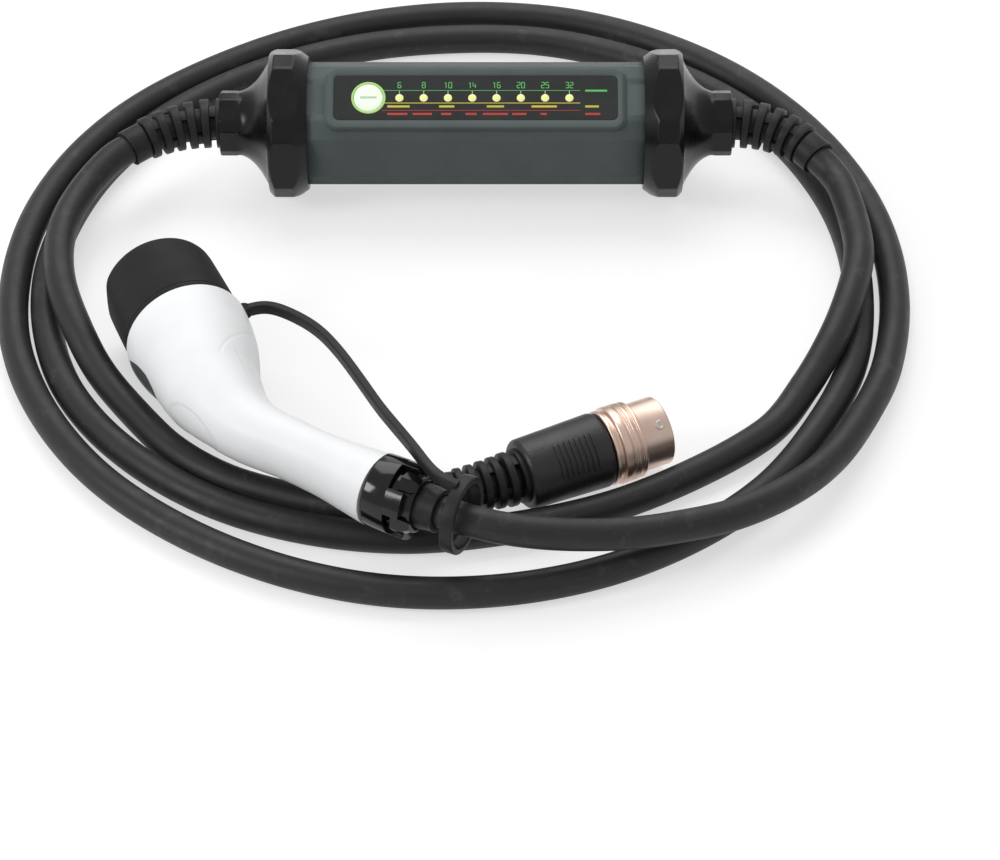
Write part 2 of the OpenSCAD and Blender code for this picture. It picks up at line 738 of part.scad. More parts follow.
// Turning coupling ring: ridged grip and plain skirt
module coupling_ring() {
    grip = 15.5;
    color([0.8, 0.62, 0.53]) on_plug() difference() {
        union() {
            bar(ring_at, 2, ring_r - 2.2);
            bar(ring_at + 2, grip - 2, ring_r - 1.2);
            for (i = [0 : 2]) {
                bar(ring_at + 2 + i * 4.6, 2.6, ring_r);
            }
            bar(ring_at, ring_len, ring_r - 2.5);
        }
        bar(ring_at - 1, 12, barrel_r + run_fit);
        bar(ring_at + 10, ring_len, barrel_r + 1.3);
        for (i = [0 : 2]) {
            rotate([120 * i + 38, 0, 0]) translate([ring_at + ring_len - 6, 0, 0])
                cylinder(h = 40, r = 1.6, $fn = 32);
        }
    }
}

// Riveted bayonet pins in the skirt
module bayonet_pins() {
    color([0.78, 0.66, 0.58]) on_plug() for (i = [0 : 2]) {
        rotate([120 * i + 38, 0, 0]) translate([ring_at + ring_len - 6, 0, 0]) {
            translate([0, 0, barrel_r - 0.2]) cylinder(h = ring_r - 2.5 - barrel_r + 0.7, r = 1.6, $fn = 32);
            translate([0, 0, ring_r - 2.5]) cylinder(h = 0.7, r = 2.6, $fn = 32);
        }
    }
}

// Insulating contact carrier in the barrel
module contact_insert() {
    color([0.12, 0.12, 0.13]) on_plug() difference() {
        bar(plug_len - 8, flange_len + 20, insert_r);
        for (i = [0 : 4]) {
            rotate([72 * i, 0, 0]) translate([0, 0, 8.4]) bar(0, 2 * plug_len, 2.2);
        }
    }
}

// Five contact pins
module plug_contacts() {
    color([0.83, 0.7, 0.42]) on_plug() for (i = [0 : 4]) {
        rotate([72 * i, 0, 0]) translate([0, 0, 8.4]) {
            bar(plug_len - 8, flange_len + 29, 2.2);
            bar(plug_len + flange_len + 21, 1.5, 2.2, 1);
        }
    }
}

// Snap ring that keeps the coupling ring on the barrel
module snap_ring() {
    color([0.7, 0.7, 0.7]) on_plug() pipe(ring_at + 10 + slip, 1.2, barrel_r + 1, barrel_r);
}

// Cords
module output_cord() {
    color([0.13, 0.13, 0.13]) swept(output_route, cord_r, cord_r, 8);
}

module supply_cord() {
    color([0.13, 0.13, 0.13]) swept(supply_route, cord_r, cord_r, 8);
}

housing();
display_frame();
display_overlay();
button_ring();
select_button();
led_lenses();
display_board();
tact_switch();
main_board();
power_relays();
current_transformer();
supply_module();
end_cap_left();
end_cap_right();
cap_seal_left();
cap_seal_right();
cord_grips();
strain_relief_left();
strain_relief_right();
connector_shell_upper();
connector_shell_lower();
connector_nose();
power_contacts();
signal_contacts();
nose_seal();
dust_cap();
cap_strap();
strap_ring();
gland_nut();
gland_bush();
plug_body();
plug_relief();
plug_barrel();
coupling_ring();
bayonet_pins();
contact_insert();
plug_contacts();
snap_ring();
output_cord();
supply_cord();
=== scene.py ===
"""Looks of a portable vehicle charger: control box, coiled cord with connector, short lead with plug."""

import logging
import math
from dataclasses import dataclass
from enum import Enum

import bpy
import numpy as np
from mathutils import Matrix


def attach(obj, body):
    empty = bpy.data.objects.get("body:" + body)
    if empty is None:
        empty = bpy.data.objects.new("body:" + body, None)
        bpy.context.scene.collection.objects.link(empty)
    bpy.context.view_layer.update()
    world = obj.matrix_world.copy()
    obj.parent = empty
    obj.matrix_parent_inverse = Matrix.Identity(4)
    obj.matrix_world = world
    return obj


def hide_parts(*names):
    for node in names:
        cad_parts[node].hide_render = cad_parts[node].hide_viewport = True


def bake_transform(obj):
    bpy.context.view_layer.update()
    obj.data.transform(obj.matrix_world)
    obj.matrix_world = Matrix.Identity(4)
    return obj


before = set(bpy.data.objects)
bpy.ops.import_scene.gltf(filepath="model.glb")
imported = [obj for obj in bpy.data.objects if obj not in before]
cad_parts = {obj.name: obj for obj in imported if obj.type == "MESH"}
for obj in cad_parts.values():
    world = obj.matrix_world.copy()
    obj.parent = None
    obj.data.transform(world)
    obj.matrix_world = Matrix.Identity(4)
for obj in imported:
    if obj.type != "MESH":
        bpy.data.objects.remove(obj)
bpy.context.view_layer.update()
LOG = logging.getLogger("charger")
MM = 0.001
Array = np.ndarray
Pair = tuple[float, float]
Triple = tuple[float, float, float]
Piece = bpy.types.Object
Socket = bpy.types.NodeSocket


class Body(Enum):
    """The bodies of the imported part."""

    CHARGER = "charger"
    BUTTON = "button"
    CAP = "cap"
    COUPLING = "coupling"


class End(Enum):
    """How the first and last row of a surface are closed."""

    OPEN = "open"
    FACE = "face"
    POLE = "pole"


class Coords(Enum):
    """What a pattern is laid out on."""

    OBJECT = "Object"
    SURFACE = "UV"


class Side(Enum):
    """The two ends of the control box."""

    LEFT = "left"
    RIGHT = "right"

    def at(self, place: "Place") -> "Place":
        """A frame made for the right end, mirrored for the left one."""
        return place if self is Side.RIGHT else place.mirrored()


# Shapes

def turned(x: float = 0.0, y: float = 0.0, z: float = 0.0) -> Array:
    """Gives the images of the three axes after turns about x, then y, then z.

    Args:
        x: Turn about x in degrees.
        y: Turn about y in degrees.
        z: Turn about z in degrees.

    Returns:
        A matrix whose rows are the turned axes.
    """
    (cx, cy, cz), (sx, sy, sz) = np.cos(np.radians((x, y, z))), np.sin(np.radians((x, y, z)))
    about_x = np.array([[1, 0, 0], [0, cx, -sx], [0, sx, cx]])
    about_y = np.array([[cy, 0, sy], [0, 1, 0], [-sy, 0, cy]])
    about_z = np.array([[cz, -sz, 0], [sz, cz, 0], [0, 0, 1]])
    return (about_z @ about_y @ about_x).T


@dataclass(frozen=True)
class Place:
    """A local frame in the part, in millimetres: an origin and the directions of its axes."""

    origin: Array
    axes: Array

    def put(self, points: Array) -> Array:
        """Takes local points to the part: origin plus each coordinate times its axis."""
        return self.origin + points @ self.axes

    def moved(self, x: float, y: float = 0.0, z: float = 0.0) -> "Place":
        """The same axes from another local origin."""
        return Place(self.put(np.array([x, y, z], float)), self.axes)

    def spun(self, x: float = 0.0, y: float = 0.0, z: float = 0.0) -> "Place":
        """The same origin with axes turned in the local frame."""
        return Place(self.origin, turned(x, y, z) @ self.axes)

    def mirrored(self) -> "Place":
        """The frame on the other side of the middle of the part."""
        return Place(self.origin * (-1, 1, 1), self.axes * (-1, 1, 1))


def rounded(corners: list[Pair], cut: float, steps: int = 5, closed: bool = False) -> Array:
    """Rounds a polyline: each corner becomes a parabola between points one cut before and after it.

    Args:
        corners: Corner points in the plane.
        cut: Distance from a corner at which its rounding starts, at most half of a side.
        steps: Points on each rounding.
        closed: Whether the last corner joins the first.

    Returns:
        The points of the rounded line.
    """
    p = np.array(corners, float)
    before, after = np.roll(p, 1, 0) - p, np.roll(p, -1, 0) - p
    reach = [np.linalg.norm(d, axis=1, keepdims=True) for d in (before, after)]
    a, c = [p + d / n * np.minimum(cut, 0.49 * n) for d, n in zip((before, after), reach)]
    t = np.linspace(0, 1, steps)[None, :, None]
    arcs = (1 - t) ** 2 * a[:, None] + 2 * t * (1 - t) * p[:, None] + t ** 2 * c[:, None]
    if closed:
        return arcs.reshape(-1, 2)
    return np.vstack([p[:1], arcs[1:-1].reshape(-1, 2), p[-1:]])


def slab_loop(length: float, width: float, radius: float, steps: int = 8, fill: int = 60) -> Array:
    """Outline of a rounded rectangle: four quarter circles with evenly filled straight sides between them.

    Args:
        length: Size along x.
        width: Size along y.
        radius: Radius of the corners.
        steps: Points on each corner.
        fill: Points on each side.

    Returns:
        The points of the outline.
    """
    quarter = np.radians(np.linspace(0, 90, steps)[None] + 90 * np.arange(4)[:, None])
    centre = np.array([[1, 1], [-1, 1], [-1, -1], [1, -1]]) * (length / 2 - radius, width / 2 - radius)
    arcs = centre[:, None] + radius * np.stack([np.cos(quarter), np.sin(quarter)], -1)
    t = np.linspace(0, 1, fill + 2)[1:-1][None, :, None]
    sides = arcs[:, -1:] * (1 - t) + np.roll(arcs, -1, 0)[:, :1] * t
    return np.concatenate([arcs, sides], 1).reshape(-1, 2)


def full_turn(count: int) -> Array:
    """Even angles of one full turn, in radians."""
    return np.linspace(0, 2 * np.pi, count, endpoint=False)


def circle(radius: float, sides: int) -> Array:
    """Evenly spaced points on a circle in the plane."""
    return radius * np.stack([np.cos(full_turn(sides)), np.sin(full_turn(sides))], 1)


def around(x: Array | float, r: Array | float, angle: Array) -> Array:
    """Points about the x axis: y is r times the cosine and z is r times the sine of the angle."""
    return np.stack(np.broadcast_arrays(x, r * np.cos(angle), r * np.sin(angle)), -1)


def lathe(profile: Array, sides: int = 96) -> Array:
    """Turns a profile of x and r about the x axis."""
    return around(profile[:, :1], profile[:, 1:], full_turn(sides))


def arc_block(x: Pair, r: Pair, angle: Pair, steps: int = 9) -> Array:
    """Block between two places on x, two radii and two angles: its four corners carried round the x axis."""
    corner_x, corner_r = np.array([x[0], x[1], x[1], x[0]]), np.array([r[0], r[0], r[1], r[1]])
    return around(corner_x, corner_r, np.radians(np.linspace(*angle, steps))[:, None])


def soft_least(*radii: Array, sharp: float = 120.0) -> Array:
    """Rounded smaller value: radii to the power minus sharp, summed, to the power minus one over sharp."""
    low = np.minimum.reduce(np.broadcast_arrays(*radii))
    return low * sum((r / low) ** -sharp for r in radii) ** (-1 / sharp)


def hex_radius(angle: Array, flat: float, corner: float, sharp: float = 160.0) -> Array:
    """Radius of a prism with six broad and six narrow faces: the softly smallest distance to its face planes.

    Args:
        angle: Angles round the axis in radians.
        flat: Distance of the broad faces from the axis.
        corner: Distance of the narrow faces from the axis.
        sharp: How sharp the edges are.

    Returns:
        The radius at each angle.
    """
    wrap = np.radians(60)
    broad = (angle + wrap / 2) % wrap - wrap / 2
    narrow = angle % wrap - wrap / 2
    return soft_least(flat / np.cos(broad), corner / np.cos(narrow), sharp=sharp)


def bent(points: Array, length: float, turn: float) -> Array:
    """Carries straight points onto an arc that turns from x toward minus z, then runs straight on.

    Args:
        points: Points along x.
        length: Length of the arc.
        turn: Turn of the arc in degrees.

    Returns:
        The bent points.
    """
    radius = length / math.radians(turn)
    s = np.clip(points[..., 0], 0, length)
    a, rest, out = s / radius, points[..., 0] - s, radius + points[..., 2]
    x = out * np.sin(a) + rest * np.cos(a)
    z = out * np.cos(a) - radius - rest * np.sin(a)
    return np.stack([x, points[..., 1], z], -1)


def curve_through(points: Array, spacing: float) -> Array:
    """Smooth line through points: on each span the cubic whose end slopes are half the neighbours' chords.

    Args:
        points: Points that the line passes, one row each.
        spacing: Distance between the points of the result.

    Returns:
        Evenly spaced points along the line.
    """
    p = np.vstack([2 * points[0] - points[1], points, 2 * points[-1] - points[-2]])
    a, b, c, d = (q[:, None] for q in (p[:-3], p[1:-2], p[2:-1], p[3:]))
    t = np.linspace(0, 1, 24, endpoint=False)[None, :, None]
    square, cube = 2 * a - 5 * b + 4 * c - d, 3 * b - a - 3 * c + d
    spans = b + 0.5 * ((c - a) * t + square * t ** 2 + cube * t ** 3)
    line = np.vstack([spans.reshape(-1, points.shape[1]), points[-1:]])
    s = run_along(line)
    even = np.linspace(0, s[-1], int(round(s[-1] / spacing)) + 1)
    return np.stack([np.interp(even, s, column) for column in line.T], 1)


def run_along(line: Array) -> Array:
    """Length along a line up to each of its points."""
    return np.concatenate([[0], np.cumsum(np.linalg.norm(np.diff(line, axis=0), axis=1))])


def eased(path: Array, rounds: int) -> Array:
    """Takes kinks out of a line: inner points move to the mean of themselves and their neighbours.

    Args:
        path: Points of the line.
        rounds: How often it is done.

    Returns:
        The eased line with its old ends.
    """
    for _ in range(rounds):
        path = np.vstack([path[:1], (path[:-2] + path[1:-1] + path[2:]) / 3, path[-1:]])
    return path


def swept(path: Array, section: Array) -> Array:
    """Carries a section along a path: each point is the path plus parts to the side and upward, square to it.

    Args:
        path: Points of the path.
        section: Points of the section, sideways and upward.

    Returns:
        A row of section points for each point of the path.
    """
    t = np.gradient(path, axis=0)
    t /= np.linalg.norm(t, axis=1, keepdims=True)
    side = np.cross(t, (0.0, 0.0, 1.0))
    side /= np.linalg.norm(side, axis=1, keepdims=True)
    up = np.cross(side, t)
    return path[:, None] + section[None, :, :1] * side[:, None] + section[None, :, 1:] * up[:, None]


def line_distance(spot: Array, line: Array) -> Array:
    """Least distance from points to a polyline: to each span the offset from the nearest point on it.

    Args:
        spot: Points in the plane.
        line: Points of the polyline.

    Returns:
        The distance of each point.
    """
    start, along = line[:-1], np.diff(line, axis=0)
    share = np.clip(((spot[..., None, :] - start) * along).sum(-1) / (along ** 2).sum(-1), 0, 1)
    return np.linalg.norm(spot[..., None, :] - start - share[..., None] * along, axis=-1).min(-1)


def cell_layout(grid: Array, spans: int) -> Array:
    """Layout of cells: u is the share of the way round and v the length along the rows in decimetres.

    Args:
        grid: Points in rows and columns.
        spans: Number of rows of cells.

    Returns:
        Two layout values for each corner of each cell.
    """
    cols = grid.shape[1]
    growth = np.abs(np.diff(np.ptp(grid, axis=1).max(1))) / 2
    steps = np.linalg.norm(np.diff(grid.mean(1), axis=0), axis=1) + growth
    run = np.concatenate([[0], np.cumsum(steps)])
    v = np.concatenate([run, run[-1:] + 1]) / 100.0
    right, up = np.array([0, 1, 1, 0]), np.array([0, 0, 1, 1])
    row = np.arange(spans)[:, None, None] + up + 0 * np.arange(cols)[:, None]
    share = (np.arange(cols) / cols)[:, None] + right / cols + 0.0 * row
    return np.stack([share, v[row]], -1)


class Skin:
    """Collects surfaces given as grids of points and makes one mesh piece of them."""

    def __init__(self) -> None:
        """Starts with no surface."""
        self.points: list[Array] = []
        self.faces: list[list[int]] = []
        self.layout: list[Array] = []
        self.count = 0

    def add(self, grid: Array, place: Place | None = None, loop: bool = False, end: End = End.FACE,
            keep: Array | None = None) -> "Skin":
        """Adds a surface whose rows follow u and whose columns go round in v.

        Faces join neighbouring rows and columns. A closed surface of negative signed volume is reversed.

        Args:
            grid: Points in rows and columns, in millimetres.
            place: Local frame of the points.
            loop: Whether the last row joins the first.
            end: How the first and last row are closed.
            keep: Which cells are kept, for a surface with a window.

        Returns:
            This collection.
        """
        rows, cols = grid.shape[:2]
        flat = grid.reshape(-1, 3)
        index = np.arange(rows * cols).reshape(rows, cols)
        low, high = (index, np.roll(index, -1, 0)) if loop else (index[:-1], index[1:])
        quads = np.stack([low, np.roll(low, -1, 1), np.roll(high, -1, 1), high], -1)
        kept = np.ones(quads.shape[:2], bool) if keep is None else keep
        faces, uv = quads[kept].tolist(), cell_layout(grid, len(quads))[kept].reshape(-1, 2)
        if not loop and end is not End.OPEN:
            first, last = index[0][::-1], index[-1]
            if end is End.FACE:
                extra = [first.tolist(), last.tolist()]
            else:
                flat = np.vstack([flat, grid[0].mean(0), grid[-1].mean(0)])
                extra = [[len(flat) - 2, int(a), int(b)] for a, b in zip(first, np.roll(first, -1))]
                extra += [[len(flat) - 1, int(a), int(b)] for a, b in zip(last, np.roll(last, -1))]
            faces += extra
            uv = np.vstack([uv, np.zeros((sum(map(len, extra)), 2))])
        if place is not None:
            flat = place.put(flat)
        if end is not End.OPEN or loop:
            a, b, c, d = ((flat - flat.mean(0))[quads.reshape(-1, 4)[:, k]] for k in range(4))
            bulk = np.einsum("ij,ij->", a, np.cross(b, c)) + np.einsum("ij,ij->", a, np.cross(c, d))
            if bulk < 0:
                ends = np.cumsum([len(f) for f in faces])
                order = [np.arange(e - 1, e - len(f) - 1, -1) for e, f in zip(ends, faces)]
                faces, uv = [f[::-1] for f in faces], uv[np.concatenate(order)]
        self.faces += [[i + self.count for i in f] for f in faces]
        self.points.append(flat)
        self.layout.append(uv)
        self.count += len(flat)
        return self

    def ring(self, corners: list[Pair], place: Place, cut: float, steps: int = 4, sides: int = 96) -> "Skin":
        """Adds a ring: a closed profile of x and r with rounded corners, turned about x."""
        return self.add(lathe(rounded(corners, cut, steps, closed=True), sides), place, loop=True)

    def piece(self, name: str, body: Body, finish: "Finish", stands_for: tuple[str, ...] = (),
              sharp: float = 40.0, toward: tuple[Body, Array, Array] | None = None) -> Piece:
        """Makes the mesh object, dresses it and lets it ride on its body unless toward is given.

        Args:
            name: Name of the piece.
            body: Body that it moves with.
            finish: Its surface.
            stands_for: Nodes of the part that it replaces.
            sharp: Angle in degrees above which an edge is drawn sharp; 0 leaves all smooth for a bevel.
            toward: Second body and two points; when given, the piece stays in the part's frame with no body,
                and the values are not used.

        Returns:
            The new object.
        """
        mesh = bpy.data.meshes.new(name)
        mesh.from_pydata((np.vstack(self.points) * MM).tolist(), [], self.faces)
        mesh.polygons.foreach_set("use_smooth", np.ones(len(mesh.polygons), bool))
        layer = mesh.uv_layers.new(name="surface")
        layer.data.foreach_set("uv", np.vstack(self.layout).astype(np.float32).ravel())
        if sharp:
            mesh.set_sharp_from_angle(angle=math.radians(sharp))
        mesh.materials.append(finish.material())
        mesh.update()
        made = bpy.data.objects.new(name, mesh)
        bpy.context.scene.collection.objects.link(made)
        if toward is None:
            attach(made, body.value)
        else:
            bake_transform(made)
        if stands_for:
            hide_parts(*stands_for)
        LOG.info("%s: %d faces on %s", name, len(self.faces), body.value)
        return made


def bevelled(made: Piece, width: float, segments: int = 2) -> Piece:
    """Rounds the sharp edges of a blocky piece.

    Args:
        made: The piece.
        width: Width of the rounding in millimetres.
        segments: Steps of the rounding.

    Returns:
        The same piece.
    """
    tool = made.modifiers.new("rounding", "BEVEL")
    tool.width, tool.segments = width * MM, segments
    tool.limit_method, tool.angle_limit = "ANGLE", math.radians(32)
    tool.harden_normals = True
    return made


# Finishes

def srgb(colour: Triple) -> Triple:
    """Turns a display colour into linear light.

    Args:
        colour: Red, green and blue from 0 to 255.

    Returns:
        The shares of light.
    """
    c = np.array(colour) / 255.0
    low, high = c / 12.92, ((c + 0.055) / 1.055) ** 2.4
    return tuple(float(v) for v in np.where(c <= 0.04045, low, high))


class Bench:
    """Lays out the nodes of one material."""

    def __init__(self, name: str) -> None:
        """Makes the material with its shader and output.

        Args:
            name: Name of the material.
        """
        self.material = bpy.data.materials.new(name)
        self.material.use_nodes = True
        self.tree = self.material.node_tree
        self.tree.nodes.clear()
        self.shader = self.add("BsdfPrincipled")
        self.join(self.shader.outputs["BSDF"], self.add("OutputMaterial").inputs["Surface"])

    def add(self, kind: str, **settings: object) -> bpy.types.ShaderNode:
        """Adds a node.

        Args:
            kind: Kind of the node.
            **settings: Properties that it gets.

        Returns:
            The node.
        """
        node = self.tree.nodes.new("ShaderNode" + kind)
        for key, value in settings.items():
            setattr(node, key, value)
        return node

    def join(self, source: Socket, target: Socket) -> None:
        """Links two sockets."""
        self.tree.links.new(source, target)

    def fix(self, values: dict[str, object]) -> None:
        """Sets plain values on the shader's own sockets."""
        for key, value in values.items():
            self.shader.inputs[key].default_value = (*value, 1.0) if isinstance(value, tuple) else value

    def coords(self, source: Coords, scale: Triple = (1, 1, 1)) -> Socket:
        """Coordinates for a pattern.

        Args:
            source: What they are laid out on.
            scale: Stretch along each of them.

        Returns:
            The stretched coordinates.
        """
        mapping = self.add("Mapping")
        mapping.inputs["Scale"].default_value = scale
        self.join(self.add("TexCoord").outputs[source.value], mapping.inputs["Vector"])
        return mapping.outputs[0]

    def noise(self, at: Socket, scale: float, detail: float = 4.0, rough: float = 0.55) -> Socket:
        """Cloudy noise.

        Args:
            at: Coordinates.
            scale: Cells per unit.
            detail: Finer layers.
            rough: Weight of the finer layers.

        Returns:
            Values around a half.
        """
        node = self.add("TexNoise")
        for key, value in (("Scale", scale), ("Detail", detail), ("Roughness", rough)):
            node.inputs[key].default_value = value
        self.join(at, node.inputs["Vector"])
        return node.outputs[0]

    def cells(self, at: Socket, scale: float) -> Socket:
        """Distance to the nearest of scattered points.

        Args:
            at: Coordinates.
            scale: Points per unit.

        Returns:
            The distance.
        """
        node = self.add("TexVoronoi")
        node.inputs["Scale"].default_value = scale
        self.join(at, node.inputs["Vector"])
        return node.outputs["Distance"]

    def spread(self, value: Socket, source: Pair, target: Pair) -> Socket:
        """Carries one range of values to another and holds it there.

        Args:
            value: Value to carry.
            source: Its range.
            target: The range that it gets.

        Returns:
            The carried value.
        """
        node = self.add("MapRange")
        for key, number in zip(("From Min", "From Max", "To Min", "To Max"), (*source, *target)):
            node.inputs[key].default_value = number
        self.join(value, node.inputs["Value"])
        return node.outputs[0]

    def either(self, one: Socket, other: Socket) -> Socket:
        """Larger of two values.

        Args:
            one: First value.
            other: Second value.

        Returns:
            The larger one.
        """
        node = self.add("Math", operation="MAXIMUM")
        self.join(one, node.inputs[0])
        self.join(other, node.inputs[1])
        return node.outputs[0]

    def tint(self, value: Socket, low: Triple, high: Triple, top: float = 0.75) -> Socket:
        """Runs from one display colour to another.

        Args:
            value: Place on the ramp.
            low: Colour up to 0.3.
            high: Colour from the top on.
            top: Where the ramp ends.

        Returns:
            The colour.
        """
        node = self.add("ValToRGB")
        for stop, place, colour in zip(node.color_ramp.elements, (0.3, top), (low, high)):
            stop.position, stop.color = place, (*srgb(colour), 1)
        self.join(value, node.inputs[0])
        return node.outputs[0]

    def blend(self, share: Socket, low: Socket, high: Triple) -> Socket:
        """Lays a display colour over another colour.

        Args:
            share: How much of it shows.
            low: Colour below.
            high: Display colour on top.

        Returns:
            The mixed colour.
        """
        node = self.add("Mix", data_type="RGBA")
        self.join(share, node.inputs[0])
        self.join(low, node.inputs[6])
        node.inputs[7].default_value = (*srgb(high), 1)
        return node.outputs[2]

    def bump(self, height: Socket, depth: float, strength: float = 0.5, over: Socket | None = None) -> Socket:
        """Tilts the surface as a height would.

        Args:
            height: The height.
            depth: Its range in millimetres.
            strength: How much of the tilt is used.
            over: Tilted surface that it is laid on.

        Returns:
            The tilted surface.
        """
        node = self.add("Bump")
        node.inputs["Strength"].default_value = strength
        node.inputs["Distance"].default_value = depth * MM
        self.join(height, node.inputs["Height"])
        if over is not None:
            self.join(over, node.inputs["Normal"])
        return node.outputs[0]


@dataclass(frozen=True)
class Finish:
    """A moulded surface: a tone that drifts to a second one, uneven gloss, a fine grain and a few specks.

    Attributes:
        name: Name of the material.
        slot: Material slot of the record.
        tone: Main display colour.
        drift: Colour that it drifts to in cloudy patches.
        rough: Least and most roughness.
        grain: Cells of the grain per metre.
        depth: Height of the grain in millimetres.
        sheen: Level of plain reflection.
        dust: Colour of the specks, or None.
        glow: Colour of light from within.
        lit: Strength of that light.
        coat: Share of clear coat.
        metal: Share of metal.
    """

    # Cells per metre of the patches of tone, the specks, the patches of gloss and the slow unevenness
    PATCHES = 45
    SPECKS = 260
    GLOSS_PATCHES = 90
    SWELL = 60

    name: str
    slot: str
    tone: Triple
    drift: Triple
    rough: Pair
    grain: float
    depth: float
    sheen: float = 0.5
    dust: Triple | None = None
    glow: Triple = (255, 255, 255)
    lit: float = 0.0
    coat: float = 0.0
    metal: float = 0.0

    def material(self) -> bpy.types.Material:
        """Gives the material, made once.

        Returns:
            The material.
        """
        known = bpy.data.materials.get(self.name)
        if known is not None:
            return known
        bench = Bench(self.name)
        bench.fix({"Specular IOR Level": self.sheen, "Coat Weight": self.coat, "Metallic": self.metal,
                   "Emission Color": srgb(self.glow), "Emission Strength": self.lit})
        for socket, made in (("Base Color", self.colour(bench)), ("Roughness", self.gloss(bench)),
                             ("Normal", self.relief(bench))):
            bench.join(made, bench.shader.inputs[socket])
        return bench.material

    def colour(self, bench: Bench) -> Socket:
        """Drifting tone with scattered specks.

        Args:
            bench: Bench of the material.

        Returns:
            The colour.
        """
        at = bench.coords(Coords.OBJECT)
        tone = bench.tint(bench.noise(at, self.PATCHES, 5), self.tone, self.drift)
        if self.dust is None:
            return tone
        specks = bench.spread(bench.cells(at, self.SPECKS), (0.05, 0.11), (0.5, 0.0))
        return bench.blend(specks, tone, self.dust)

    def gloss(self, bench: Bench) -> Socket:
        """Roughness that drifts between its limits."""
        patches = bench.noise(bench.coords(Coords.OBJECT), self.GLOSS_PATCHES, 6)
        return bench.spread(patches, (0.3, 0.7), self.rough)

    def relief(self, bench: Bench) -> Socket:
        """Fine grain over slow unevenness.

        Args:
            bench: Bench of the material.

        Returns:
            The tilted surface.
        """
        at = bench.coords(Coords.OBJECT)
        slow = bench.bump(bench.noise(at, self.SWELL, 2), 0.03, 0.2)
        return bench.bump(bench.noise(at, self.grain, 3), self.depth, 0.6, slow)

    def dress(self, *nodes: str) -> list[Piece]:
        """Gives this surface to nodes of the part that stay in view.

        Args:
            *nodes: Names of the nodes.

        Returns:
            Their objects.
        """
        for node in nodes:
            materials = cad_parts[node].data.materials
            materials.clear()
            materials.append(self.material())
            LOG.info("%s: dressed as %s", node, self.name)
        return [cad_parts[node] for node in nodes]


@dataclass(frozen=True)
class CordRubber(Finish):
    """Extruded rubber: long faint streaks and drawn lines along the cord, and wiped dust."""

    # Cells round and along the cord of the streaks and the drawn lines, and patches of dust per metre
    STREAKS = (26, 3, 1)
    LINES = (140, 4, 1)
    PATCHES = 60

    def colour(self, bench: Bench) -> Socket:
        """Tone in streaks along the cord, with pale handling dust.

        Args:
            bench: Bench of the material.

        Returns:
            The colour.
        """
        streaks = bench.noise(bench.coords(Coords.SURFACE, self.STREAKS), 1, 4)
        patches = bench.noise(bench.coords(Coords.OBJECT), self.PATCHES, 8, 0.7)
        wiped = bench.spread(patches, (0.56, 0.72), (0.0, 0.35))
        return bench.blend(wiped, bench.tint(streaks, self.tone, self.drift), self.dust or self.drift)

    def relief(self, bench: Bench) -> Socket:
        """Drawn lines along the cord with a fine matte grain."""
        lines = bench.bump(bench.noise(bench.coords(Coords.SURFACE, self.LINES), 1, 2), 0.05, 0.4)
        return bench.bump(bench.noise(bench.coords(Coords.OBJECT), self.grain, 3), self.depth, 0.5, lines)


@dataclass(frozen=True)
class TurnedMetal(Finish):
    """Plated metal off the lathe: fine rings across the axis."""

    # Cells round and along the axis of the rings in the gloss and of the turning marks
    GLOSS_RINGS = (3, 420, 1)
    MARKS = (2, 700, 1)

    metal: float = 1.0

    def gloss(self, bench: Bench) -> Socket:
        """Roughness in narrow turned rings."""
        rings = bench.noise(bench.coords(Coords.SURFACE, self.GLOSS_RINGS), 1, 3)
        return bench.spread(rings, (0.3, 0.7), self.rough)

    def relief(self, bench: Bench) -> Socket:
        """Turning marks round the axis."""
        marks = bench.noise(bench.coords(Coords.SURFACE, self.MARKS), 1, 2)
        return bench.bump(marks, self.depth, 0.45)


@dataclass(frozen=True)
class Glow(Finish):
    """Translucent coloured moulding that is dimly lit from behind."""

    # Cells of the clouds in it per metre
    PATCHES = 300

    def colour(self, bench: Bench) -> Socket:
        """Tone that drifts in small clouds."""
        clouds = bench.noise(bench.coords(Coords.OBJECT), self.PATCHES, 3)
        return bench.tint(clouds, self.tone, self.drift, 0.8)


@dataclass(frozen=True)
class Ink(Finish):
    """Thin printed ink."""

    rough: Pair = (0.45, 0.55)
    grain: float = 1500
    depth: float = 0.01


